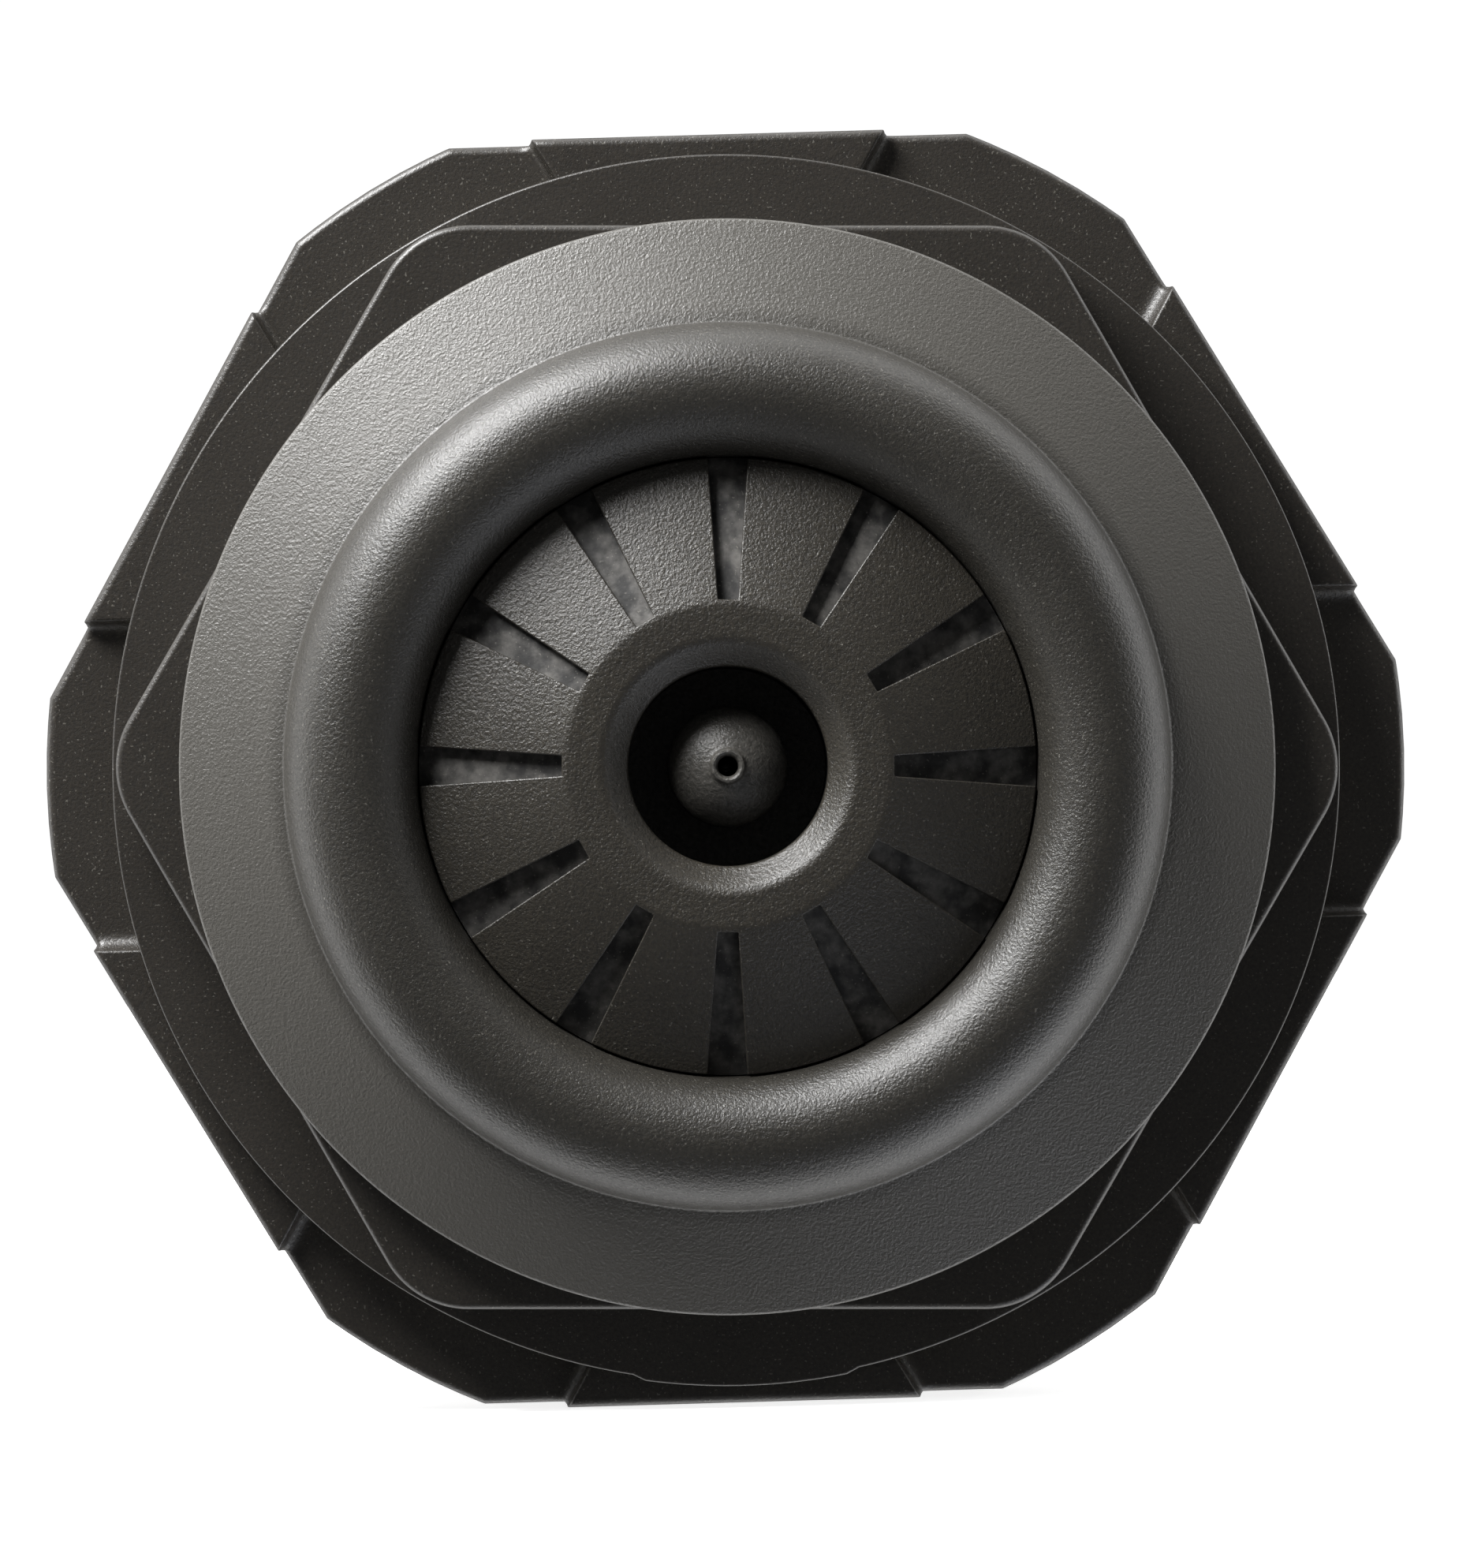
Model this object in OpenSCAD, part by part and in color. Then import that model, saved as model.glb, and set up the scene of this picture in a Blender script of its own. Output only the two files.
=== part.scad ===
// Rock tumbler barrel: a six-sided shell with a rubber liner, a screw-in lid that carries
// the slotted drive hub and a gas relief valve, and a ball-bearing stub axle at the back.
// Millimetres. The barrel lies on one flat: +Z up, +Y along the axis towards the stub axle,
// origin on the ground below the middle of its length.
// Each piece is drawn along a local z, its depth behind the crest of the collar's bead.

/* [Barrel] */
// Diameter over the six rounded corners
across_corners = 115.2; // [114.8:0.1:116]
// Distance from the axis to the face of a raised pad
pad_apothem = 53.7; // [53.6:0.1:54]
// Length of the shell
shell_length = 84; // [70:1:130]
// How far the pads stand out from the corners, on the sides
pad_rise = 0.45; // [0.3:0.05:0.6]
// How far the pads stand out from the corners, on the front end
pad_step = 1.8; // [1:0.1:2]
// Half the width of the low channel across each corner
channel_half = 13.9; // [12:0.1:15]

/* [Lid] */
// Radius of the round lid flange
flange_r = 51.8; // [51.6:0.1:52.4]
// Distance from the axis to a flat of the lid's hexagon
hex_apothem = 45.4; // [44.5:0.1:46]
// Radius of the hexagon's rounded corners
hex_corner_r = 6; // [5:0.5:8]
// Radius of the flared collar's rim
rim_r = 45.8; // [45:0.1:47]
// Radius of the bead's section
bead_r = 5.6; // [5.4:0.1:5.7]
// Radius of the circle along the bead's crest
bead_mid_r = 31.4; // [31.3:0.1:31.6]
// Advance of the three-start lid thread in one turn
thread_lead = 12; // [11.4:0.2:12.6]
// How far the lid is turned past square when it is tight, in degrees
lid_clock = 1.65; // [0:0.05:5]

/* [Drive hub] */
// Radius of the drive bore
bore_r = 8.3; // [8.2:0.1:8.5]
// Radius of the flat around the bore
plateau_r = 13.5; // [13:0.1:14]
// Slope of the slotted face, in degrees
face_slope = 19; // [17:0.5:20]
// Number of drive slots
slot_count = 12; // [6:3:12]
// Radius of the vent nipple
nipple_r = 5; // [4.8:0.1:5.2]

/* [Hidden] */
$fn = 96;
eps = 0.01;
past = 1;                                   // how far a cutter runs past the face it cuts

// Screws: a coarse thread in moulded bosses
screw_r = 1.2;
screw_clear_r = 1.6;
screw_head_r = 2.8;
screw_head_h = 1.9;

// Collar
collar_wall = 3;
collar_inner_r = bead_mid_r - bead_r;
collar_inner_wall = 2;
rim_z = 8.2;
rim_t = 1.7;
neck_r = 40.5;

// Drive hub, from its flat front to its base on the lid
plateau_z = 0.2;
face_t = 1.1;                               // thickness of the slotted face on its cone
plateau_t = 1.8;                            // and around the bore
face_r = collar_inner_r - 0.1;
face_drop = (face_r - plateau_r) * tan(face_slope);
hub_wall = 2.5;
funnel_w = 2;                               // lead-in around the bore
hub_lip_z = plateau_z + funnel_w + 1.3;
bush_end_z = 17;
nipple_tip_z = 3;
nipple_dome_r = 5.6;
vent_r = 0.85;

// Lid
hex_z = 11.5;
flange_z = 20;
flange_t = 3.3;
tab_angle = 20.3;
tab_rise = 0.35;
tab_reach = 60;                             // past the flange's edge
pocket_r = 41;
skirt_r = 44;
skirt_in_r = 39.5;
skirt_end_z = 38;
housing_r = 15;                             // valve housing behind the lid's web
housing_end_z = 34;
web_z = flange_z + flange_t;

// Lid thread: three ridges on the skirt, and three in the mouth between them
thread_z = 28.7;
thread_turns = 0.62;
thread_depth = 1.5;
thread_gap = 0.35;
ridge_root_w = 2.1;
ridge_crest_w = 1.1;
mouth_root_r = skirt_r + thread_depth + thread_gap;

// Shell
shell_z = web_z + 0.2;
corner_r = across_corners / 2;
low_apothem = pad_apothem - pad_rise;
ring_depth = 14;                            // length of each six-sided end ring
waist = 2.2;                                // how far the middle of the shell is set in
seal_recess_r = 51.2;
seal_z = web_z + 0.1;
slip_ring_t = 1;
seal_t = 3;
seal_seat_z = seal_z + slip_ring_t + seal_t + 0.05;
mouth_ring_r = 47.5;
mouth_end_z = skirt_end_z;
lip_r = 46;
liner_z = mouth_end_z + 3;
liner_r = 48;
liner_apothem = 40;
liner_corner_r = 8;
liner_wall = 4;
liner_mouth_r = 42;
rear_z = shell_z + shell_length;
cover_t = 4;
cover_screw_r = 52.3;
cover_screw_z = rear_z + 1.8;
cover_screw_length = 11;

// Bearing of the common 8 x 22 x 7 size, in a boss on the rear cover
bearing_z = rear_z + cover_t + 1.4;
bearing_w = 7;
bearing_end_z = bearing_z + bearing_w;
bearing_bore_r = 4;
bearing_out_r = 11;
inner_race_r = 6.1;
outer_race_r = 8.9;
ball_r = 1.98;
ball_pitch_r = 7.5;
ball_count = 7;
race_clear = 0.08;
shield_r = 9.5;
shield_t = 0.5;
boss_r = 15;
boss_z = bearing_end_z + 2;
circlip_t = 1;
axle_head_r = 6.2;
axle_head_t = 3;
axle_groove_r = 3.2;
axle_groove_w = 0.8;
journal_r = 3.75;
overall_length = boss_z + 11;

// Relief valve, in the lid's housing
nipple_socket_r = 6.2;
nipple_socket_end_z = 24;                   // step that the nipple's O-ring is squeezed against
spigot_end_z = 22.4;
spring_room_r = 2.9;
spring_z = 12;
valve_ball_r = 3;
valve_bore_r = 3.3;
seat_z = 29;
seat_cone_r = 2.6;
seat_gap = 0.04;
seat_groove_z = seat_z + 2.35;
seat_groove_r = 4.97;
o_ring_r = 0.6;
// Depth of the ball's centre when it rests in the seat's 45 degree cone
valve_ball_z = seat_z + seat_cone_r - (valve_ball_r + seat_gap) * sqrt(2);

// Screws that hold the hub's pieces and the filter
collar_screw_r = 33.5;
core_screw_r = 20;
retainer_screw_r = 12.2;
filter_r = 9.8;
filter_t = 2;
retainer_t = 3.2;

module on_axis()
    translate([0, -overall_length / 2, pad_apothem]) rotate([-90, 0, 0]) children();

module on_lid() on_axis() rotate([0, 0, lid_clock]) children();

module at_z(z) translate([0, 0, z]) children();

module around(count, radius, start = 0)
    for (i = [0 : count - 1]) rotate([0, 0, start + i * 360 / count])
        translate([radius, 0, 0]) children();

module ring(r_out, r_in, z, h) at_z(z) difference() {
    cylinder(r = r_out, h = h);
    at_z(-past) cylinder(r = r_in, h = h + 2 * past);
}

module torus(mid_r, r, z) at_z(z) rotate_extrude() translate([mid_r, 0]) circle(r, $fn = 48);

module hex_prism(apothem, z, h) at_z(z) cylinder(r = apothem / cos(30), h = h, $fn = 6);

// Hexagon whose corners are round, with its flats at the top and the bottom
module round_hex(apothem, r, z, h) {
    reach = (apothem - r) / cos(30);
    tangents = [for (k = [0 : 5], side = [-30, 30])
        [reach * cos(60 * k) + r * cos(60 * k + side),
         reach * sin(60 * k) + r * sin(60 * k + side)]];
    at_z(z) {
        linear_extrude(h) polygon(tangents);
        around(6, reach) cylinder(r = r, h = h);
    }
}

// Six bars from the axis through the corners, as wide as the low channels
module channels(z, h)
    for (k = [0 : 5]) rotate([0, 0, 60 * k])
        translate([0, -channel_half, z]) cube([corner_r + past, 2 * channel_half, h]);

// Six-sided block with raised pads on its flats and turned corners
module padded_hex(z, h, front_step = 0, back_step = 0) difference() {
    intersection() {
        hex_prism(pad_apothem, z, h);
        at_z(z - past) cylinder(r = corner_r, h = h + 2 * past);
    }
    difference() {
        channels(z - past, h + 2 * past);
        hex_prism(low_apothem, z + front_step, h - front_step - back_step);
    }
}

// Cross-headed screw: its head stands up from z = 0 and its shank goes down
module screw(length) {
    point = 1.5;
    slot_w = 0.7;
    slot_depth = 1.1;
    slot_l = screw_head_r * 1.2;
    difference() {
        cylinder(r = screw_head_r, h = screw_head_h);
        for (turn = [0, 90]) rotate([0, 0, turn])
            translate([-slot_l / 2, -slot_w / 2, screw_head_h - slot_depth])
                cube([slot_l, slot_w, slot_depth + past]);
    }
    at_z(point - length) cylinder(r = screw_r - eps, h = length - point + eps);
    at_z(-length) cylinder(r1 = screw_r / 4, r2 = screw_r - eps, h = point);
}

// Moulded boss with a blind hole for a screw that comes from behind
module screw_boss(r, z, end_z) difference() {
    at_z(z) cylinder(r = r, h = end_z - z);
    at_z(z + 2) cylinder(r = screw_r, h = end_z - z);
}

// Three ridges, each a trapezoid swept along a right-handed helix from base to crest.
// Each ridge starts and ends low, so that the lid finds its way in.
module thread_ridges(base, crest, start) {
    steps_per_turn = 60;
    steps = ceil(thread_turns * steps_per_turn);
    fade = 5;
    outward = crest > base;
    root = base + (outward ? -0.4 : 0.4);
    last = 4 * steps;
    sides = [for (i = [0 : steps - 1], j = [0 : 3])
        let (a = 4 * i + j, b = 4 * i + (j + 1) % 4) [a, b, b + 4, a + 4]];
    faces = concat(sides, [[3, 2, 1, 0], [last, last + 1, last + 2, last + 3]]);
    for (s = [0 : 2]) {
        points = [for (i = [0 : steps]) let (
                a = start + 120 * s + i * 360 / steps_per_turn,
                m = thread_z + i * thread_lead / steps_per_turn,
                rise = min(1, (i + 0.5) / fade, (steps - i + 0.5) / fade),
                tip = base + (crest - base) * rise)
            for (p = [[root, -ridge_root_w / 2], [tip, -ridge_crest_w / 2],
                      [tip, ridge_crest_w / 2], [root, ridge_root_w / 2]])
                [p[0] * cos(a), p[0] * sin(a), m + p[1]]];
        polyhedron(points, outward ? faces : [for (f = faces) [f[3], f[2], f[1], f[0]]]);
    }
}

// ---- Barrel ----

// Moulded shell: six-sided end rings with raised pads, and a ribbed waist between them
module barrel_shell() on_axis() color("#3b3935") difference() {
    union() {
        padded_hex(shell_z, ring_depth, front_step = pad_step);
        padded_hex(rear_z - ring_depth, ring_depth);
        intersection() {
            hex_prism(low_apothem - waist, shell_z + pad_step, shell_length - pad_step);
            at_z(shell_z) cylinder(r = corner_r - waist, h = shell_length);
        }
        waist_ribs();
    }
    at_z(shell_z - past) cylinder(r = seal_recess_r, h = seal_seat_z - shell_z + past);
    at_z(shell_z) cylinder(r = mouth_ring_r, h = mouth_end_z - shell_z);
    at_z(shell_z) cylinder(r = lip_r, h = shell_length);
    at_z(liner_z) cylinder(r = liner_r, h = shell_length);
    around(6, cover_screw_r) at_z(rear_z - cover_screw_length)
        cylinder(r = screw_r, h = cover_screw_length + past);
}

// Three ribs along the waist on each flat, a little lower than the end rings
module waist_ribs() {
    rib_w = 2.4;
    below = 0.4;
    for (k = [0 : 5], x = [-14, 0, 14]) rotate([0, 0, 30 + 60 * k])
        translate([low_apothem - waist - past, x - rib_w / 2, shell_z + ring_depth - past])
            cube([waist + past - below, rib_w, shell_length - 2 * ring_depth + 2 * past]);
}

// Threaded ring pressed into the shell's mouth
module mouth_thread_ring() on_lid() color("#34322f") {
    ring(mouth_ring_r, mouth_root_r, seal_seat_z, mouth_end_z - seal_seat_z);
    thread_ridges(mouth_root_r, skirt_r + thread_gap, 60);
}

// Thick rubber cup with a six-sided inside, which tumbles the charge
module barrel_liner() on_axis() color("#1d1d1d") difference() {
    at_z(liner_z) cylinder(r = liner_r, h = rear_z - liner_z);
    round_hex(liner_apothem, liner_corner_r, liner_z + liner_wall,
        rear_z - liner_z - 2 * liner_wall);
    at_z(liner_z - past) cylinder(r = liner_mouth_r, h = liner_wall + 2 * past);
}

// Six-sided end plate with radial ribs and the bearing boss
module rear_cover() on_axis() color("#3b3935") difference() {
    rib_t = 3;
    rib_h = 3;
    rib_ring_r = 40;
    back_step = 1.2;
    rib_z = rear_z + cover_t - back_step - past;
    union() {
        difference() {
            padded_hex(rear_z, cover_t, back_step = back_step);
            at_z(rear_z + cover_t - back_step) cylinder(r = rib_ring_r, h = back_step + past);
        }
        at_z(rear_z) cylinder(r = boss_r, h = boss_z - rear_z);
        around(6, 0) translate([boss_r - 2, -rib_t / 2, rib_z])
            cube([rib_ring_r - boss_r + 2, rib_t, rib_h + back_step + past]);
        ring(rib_ring_r + rib_t / 2, rib_ring_r - rib_t / 2, rib_z, rib_h + back_step + past);
    }
    at_z(bearing_z - axle_head_t - 0.4) cylinder(r = axle_head_r + 1.3, h = boss_z);
    at_z(bearing_z) cylinder(r = bearing_out_r, h = boss_z);
    ring(bearing_out_r + 0.8, bearing_out_r - past, bearing_end_z, circlip_t + 0.1);
    around(6, cover_screw_r) {
        at_z(rear_z - past) cylinder(r = screw_clear_r, h = cover_t + 2 * past);
        at_z(cover_screw_z) cylinder(r = screw_head_r + 0.3, h = cover_t);
    }
}

module rear_cover_screws() on_axis() color("silver")
    around(6, cover_screw_r) at_z(cover_screw_z) screw(cover_screw_length);

// ---- Bearing and stub axle ----

module bearing_middle() at_z(bearing_z + bearing_w / 2) children();

module bearing_outer_ring() on_axis() color("silver") difference() {
    ring(bearing_out_r, outer_race_r, bearing_z, bearing_w);
    bearing_middle() torus(ball_pitch_r, ball_r + race_clear, 0);
    for (z = [-past, bearing_w - shield_t]) at_z(bearing_z + z)
        cylinder(r = shield_r, h = shield_t + past);
}

module bearing_shields() on_axis() color("gray")
    for (z = [0, bearing_w - shield_t]) ring(shield_r, inner_race_r + 0.3, bearing_z + z, shield_t);

// Spring clip in the boss's groove, which keeps the bearing in
module bearing_circlip() on_axis() color("#555555") difference() {
    split_w = 3;
    ring(bearing_out_r + 0.7, bearing_out_r - 1.4, bearing_end_z + 0.05, circlip_t);
    translate([0, -split_w / 2, bearing_end_z]) cube([boss_r, split_w, circlip_t + past]);
}

module bearing_inner_ring() on_axis() color("silver") difference() {
    ring(inner_race_r, bearing_bore_r, bearing_z, bearing_w);
    bearing_middle() torus(ball_pitch_r, ball_r + race_clear, 0);
}

module bearing_balls() on_axis() color("gainsboro")
    bearing_middle() around(ball_count, ball_pitch_r) sphere(ball_r, $fn = 48);

// Crown cage: a ring beside the balls, with a round pocket for each, open to the front
module bearing_cage() on_axis() color("#b08d57") bearing_middle() difference() {
    crown_z = -1;
    ring(ball_pitch_r + 0.8, ball_pitch_r - 0.8, crown_z, ball_r + 0.8 - crown_z);
    around(ball_count, ball_pitch_r) sphere(ball_r + race_clear, $fn = 48);
}

// Stub axle: a head inside the boss, a shaft through the bearing, and a slimmer journal behind
module stub_axle() on_axis() color("silver") {
    chamfer = 0.8;
    journal_z = bearing_end_z + axle_groove_w;
    at_z(bearing_z - axle_head_t) cylinder(r = axle_head_r, h = axle_head_t);
    at_z(bearing_z) cylinder(r = bearing_bore_r, h = bearing_w);
    at_z(bearing_end_z - eps) cylinder(r = axle_groove_r, h = axle_groove_w + 2 * eps);
    at_z(journal_z) cylinder(r = journal_r, h = overall_length - chamfer - journal_z);
    at_z(overall_length - chamfer) cylinder(r1 = journal_r, r2 = journal_r - chamfer, h = chamfer);
}

module axle_clip() on_axis() color("#555555") difference() {
    mouth_w = 4.4;
    ring(inner_race_r - 0.2, axle_groove_r, bearing_end_z, axle_groove_w);
    translate([0, -mouth_w / 2, bearing_end_z - past])
        cube([inner_race_r, mouth_w, axle_groove_w + 2 * past]);
}

// ---- Lid seal ----

// Smooth ring under the lid's flange, so that the seal isn't dragged round as the lid turns
module slip_ring() on_axis() color("#d9d6cc")
    ring(seal_recess_r - 0.3, mouth_root_r + 0.2, seal_z, slip_ring_t);

module lid_seal() on_axis() color("#161616")
    ring(seal_recess_r - 0.5, mouth_root_r + 0.5, seal_z + slip_ring_t, seal_t);

// ---- Lid ----

// Lid: hexagon to turn it by, round flange with a locating tab, threaded skirt, valve housing
module lid_body() on_lid() color("#3b3935") {
    difference() {
        union() {
            round_hex(hex_apothem, hex_corner_r, hex_z, flange_z - hex_z + past);
            at_z(flange_z) cylinder(r = flange_r, h = flange_t);
            flange_tab();
            at_z(flange_z) cylinder(r = skirt_r, h = skirt_end_z - flange_z);
        }
        at_z(hex_z - past) cylinder(r = pocket_r, h = flange_z - hex_z + past);
        lid_back_room();
        at_z(flange_z - past) cylinder(r = nipple_socket_r, h = nipple_socket_end_z - flange_z + past);
        at_z(flange_z) cylinder(r = valve_bore_r, h = skirt_end_z);
        at_z(seat_z) cylinder(r = nipple_socket_r, h = skirt_end_z);
        around(6, collar_screw_r) at_z(flange_z - past)
            cylinder(r = screw_clear_r, h = flange_t + 2 * past);
        around(3, core_screw_r, 30) at_z(flange_z - past)
            cylinder(r = screw_clear_r, h = flange_t + 2 * past);
        around(3, retainer_screw_r) at_z(housing_end_z - 6) cylinder(r = screw_r, h = 6 + past);
    }
    thread_ridges(skirt_r, skirt_r + thread_depth, 0);
}

// Low tab on the edge of the flange, at the bottom
module flange_tab() intersection() {
    at_z(flange_z) cylinder(r = flange_r + tab_rise, h = flange_t);
    at_z(flange_z - past) linear_extrude(flange_t + 2 * past) polygon([[0, 0],
        [-tab_reach * sin(tab_angle / 2), tab_reach * cos(tab_angle / 2)],
        [tab_reach * sin(tab_angle / 2), tab_reach * cos(tab_angle / 2)]]);
}

// Room behind the lid's web, around the valve housing and the six ribs that brace it
module lid_back_room() difference() {
    rib_t = 2.4;
    rib_h = 8;
    at_z(web_z) cylinder(r = skirt_in_r, h = skirt_end_z);
    at_z(flange_z) cylinder(r = housing_r, h = housing_end_z - flange_z);
    around(6, 0, 15) translate([housing_r - past, -rib_t / 2, flange_z])
        cube([skirt_in_r - housing_r + 2 * past, rib_t, flange_t + rib_h]);
}

// Flared collar with the rolled bead that leads the drive head in
module flared_collar() on_lid() color("#4a4843") {
    foot_r = bead_mid_r + bead_r - 0.4;
    foot_z = bead_r - 0.9;
    hollow_z = bead_r + 1;
    rotate_extrude() difference() {
        union() {
            translate([bead_mid_r, bead_r]) circle(bead_r);
            polygon([[bead_mid_r, foot_z], [foot_r, foot_z], [rim_r, rim_z], [rim_r, rim_z + rim_t],
                [neck_r, foot_z + collar_wall + 1], [bead_mid_r, foot_z + collar_wall]]);
            translate([neck_r - collar_wall, rim_z - 1])
                square([collar_wall, flange_z - rim_z + 1]);
            translate([collar_inner_r, bead_r]) square([collar_inner_wall, flange_z - bead_r]);
        }
        translate([bead_mid_r, bead_r + 0.5]) circle(bead_r - collar_wall);
        polygon([[collar_inner_r + collar_inner_wall, hollow_z], [bead_mid_r + 2, hollow_z],
            [neck_r - collar_wall, hollow_z + 2], [neck_r - collar_wall, flange_z + past],
            [collar_inner_r + collar_inner_wall, flange_z + past]]);
    }
    around(6, collar_screw_r) screw_boss(3.6, foot_z + 0.5, flange_z);
}

// The collar's and the core's screws go in from behind the lid's web
module from_behind(count, radius, start = 0) around(count, radius, start) at_z(web_z) screw(10);

module collar_screws() on_lid() color("silver") from_behind(6, collar_screw_r);

// Cone with a flat top and twelve wedge slots, for the teeth of the drive head
module slotted_face() on_lid() color("#3e3c38") difference() {
    slot_in_w = 1.7;
    slot_out_w = 3.45;
    slot_start = plateau_r + 0.3;
    rotate_extrude() polygon([[bore_r, plateau_z + funnel_w], [bore_r + funnel_w, plateau_z],
        [plateau_r, plateau_z], [face_r, plateau_z + face_drop],
        [face_r, plateau_z + face_drop + face_t], [plateau_r, plateau_z + face_t],
        [plateau_r - 1, plateau_z + plateau_t], [bore_r + funnel_w, plateau_z + plateau_t],
        [bore_r + 1, hub_lip_z], [bore_r, hub_lip_z]]);
    for (i = [0 : slot_count - 1]) rotate([0, 0, i * 360 / slot_count]) at_z(-past)
        linear_extrude(plateau_z + face_drop + face_t + 2 * past)
            polygon([[slot_start, -slot_in_w / 2], [face_r + past, -slot_out_w / 2],
                [face_r + past, slot_out_w / 2], [slot_start, slot_in_w / 2]]);
}

// Hollow core behind the slotted face: its cone is the floor that shows in each slot
module drive_core() on_lid() color("#55534f") {
    cone_z = plateau_z + face_t;
    rotate_extrude() polygon([[bore_r + 1, hub_lip_z],
        [bore_r + funnel_w, plateau_z + plateau_t], [plateau_r - 1, plateau_z + plateau_t],
        [plateau_r, cone_z], [face_r, cone_z + face_drop], [face_r, flange_z],
        [face_r - hub_wall, flange_z], [face_r - hub_wall, cone_z + face_drop + hub_wall],
        [bore_r + 1 + hub_wall, cone_z + hub_wall + 1],
        [bore_r + 1 + hub_wall, flange_z], [bore_r + 1, flange_z]]);
    around(3, core_screw_r, 30) screw_boss(2.9, cone_z + face_drop, flange_z);
}

module core_screws() on_lid() color("silver") from_behind(3, core_screw_r, 30);

// Black sleeve that lines the drive bore
module bore_bush() on_lid() color("#0c0c0c")
    ring(bore_r + 1, bore_r, hub_lip_z, bush_end_z - hub_lip_z);

// Domed nipple on the axis, with a vent hole through its tip and room for the spring behind
module vent_nipple() on_lid() color("#4a4843") {
    lip_r = 2;
    lip_h = 0.2;
    shoulder_z = nipple_tip_z + nipple_dome_r
        - sqrt(nipple_dome_r * nipple_dome_r - nipple_r * nipple_r);
    difference() {
        union() {
            intersection() {
                at_z(nipple_tip_z + nipple_dome_r) sphere(nipple_dome_r);
                at_z(nipple_tip_z) cylinder(r = nipple_r, h = shoulder_z - nipple_tip_z);
            }
            at_z(shoulder_z) cylinder(r = nipple_r, h = bush_end_z - shoulder_z + past);
            at_z(nipple_tip_z - lip_h) cylinder(r = lip_r, h = 1);
            at_z(bush_end_z) cylinder(r = bore_r + 1, h = flange_z - bush_end_z);
            at_z(flange_z - past) cylinder(r = nipple_socket_r - 0.05,
                h = spigot_end_z - flange_z + past);
        }
        cylinder(r = vent_r, h = flange_z);
        at_z(nipple_tip_z - lip_h - eps) cylinder(r1 = 1.4, r2 = vent_r, h = 0.6);
        at_z(spring_z) cylinder(r = spring_room_r, h = flange_z);
    }
}

module nipple_o_ring() on_lid() color("#161616")
    torus(nipple_socket_r - 0.85, 0.78, (spigot_end_z + nipple_socket_end_z) / 2);

// ---- Relief valve ----

module valve_seat() on_lid() color("#b08d57") difference() {
    seat_hole_r = 2;
    groove_w = 1.5;
    ring(nipple_socket_r - 0.05, seat_hole_r, seat_z, housing_end_z - seat_z);
    at_z(seat_z) cylinder(r1 = seat_cone_r, r2 = seat_hole_r, h = seat_cone_r - seat_hole_r);
    ring(nipple_socket_r + past, seat_groove_r, seat_groove_z - groove_w / 2, groove_w);
}

module seat_o_ring() on_lid() color("#161616")
    torus(seat_groove_r + o_ring_r, o_ring_r, seat_groove_z);

module valve_ball() on_lid() color("gainsboro")
    at_z(valve_ball_z) sphere(valve_ball_r, $fn = 64);

// Coil spring from the nipple's blind end to the ball
module valve_spring() on_lid() color("silver") {
    wire_r = 0.3;
    coil_r = 2.2;
    turns = 7;
    per_turn = 16;
    steps = turns * per_turn;
    end = 6 * steps;
    first_z = spring_z + wire_r + 0.05;
    last_z = valve_ball_z - sqrt(pow(valve_ball_r, 2) - pow(coil_r, 2)) - wire_r - 0.1;
    points = [for (i = [0 : steps]) let (a = i * 360 / per_turn) for (j = [0 : 5])
        let (r = coil_r + wire_r * cos(60 * j))
        [r * cos(a), r * sin(a), first_z + (last_z - first_z) * i / steps + wire_r * sin(60 * j)]];
    sides = [for (i = [0 : steps - 1], j = [0 : 5]) let (k = (j + 1) % 6)
        [6 * i + j, 6 * i + k, 6 * i + 6 + k, 6 * i + 6 + j]];
    polyhedron(points, concat(sides, [[for (j = [5 : -1 : 0]) j], [for (j = [0 : 5]) end + j]]));
}

// ---- Filter ----

// Felt disc that keeps grit out of the valve
module filter_disc() on_lid() color("#c9c4b8")
    at_z(housing_end_z) cylinder(r = filter_r, h = filter_t);

module filter_retainer() on_lid() color("#8f8d88") difference() {
    hole_r = 1;
    at_z(housing_end_z) cylinder(r = housing_r - 0.3, h = retainer_t);
    at_z(housing_end_z - past) cylinder(r = filter_r, h = filter_t + past);
    at_z(housing_end_z) {
        cylinder(r = hole_r, h = retainer_t + past);
        around(6, 3.4) cylinder(r = hole_r, h = retainer_t + past);
        around(12, 6.8, 15) cylinder(r = hole_r, h = retainer_t + past);
    }
    around(3, retainer_screw_r) at_z(housing_end_z - past)
        cylinder(r = screw_r + 0.2, h = retainer_t + 2 * past);
}

module retainer_screws() on_lid() color("silver")
    around(3, retainer_screw_r) at_z(housing_end_z + retainer_t) screw(8);

barrel_shell();
mouth_thread_ring();
barrel_liner();
rear_cover();
rear_cover_screws();
bearing_outer_ring();
bearing_shields();
bearing_circlip();
bearing_inner_ring();
stub_axle();
axle_clip();
bearing_balls();
bearing_cage();
slip_ring();
lid_seal();
lid_body();
flared_collar();
collar_screws();
slotted_face();
drive_core();
core_screws();
bore_bush();
vent_nipple();
nipple_o_ring();
valve_seat();
seat_o_ring();
filter_disc();
filter_retainer();
retainer_screws();
valve_ball();
valve_spring();
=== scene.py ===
import math

import bmesh
import bpy
from mathutils import Matrix, Quaternion, Vector


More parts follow.
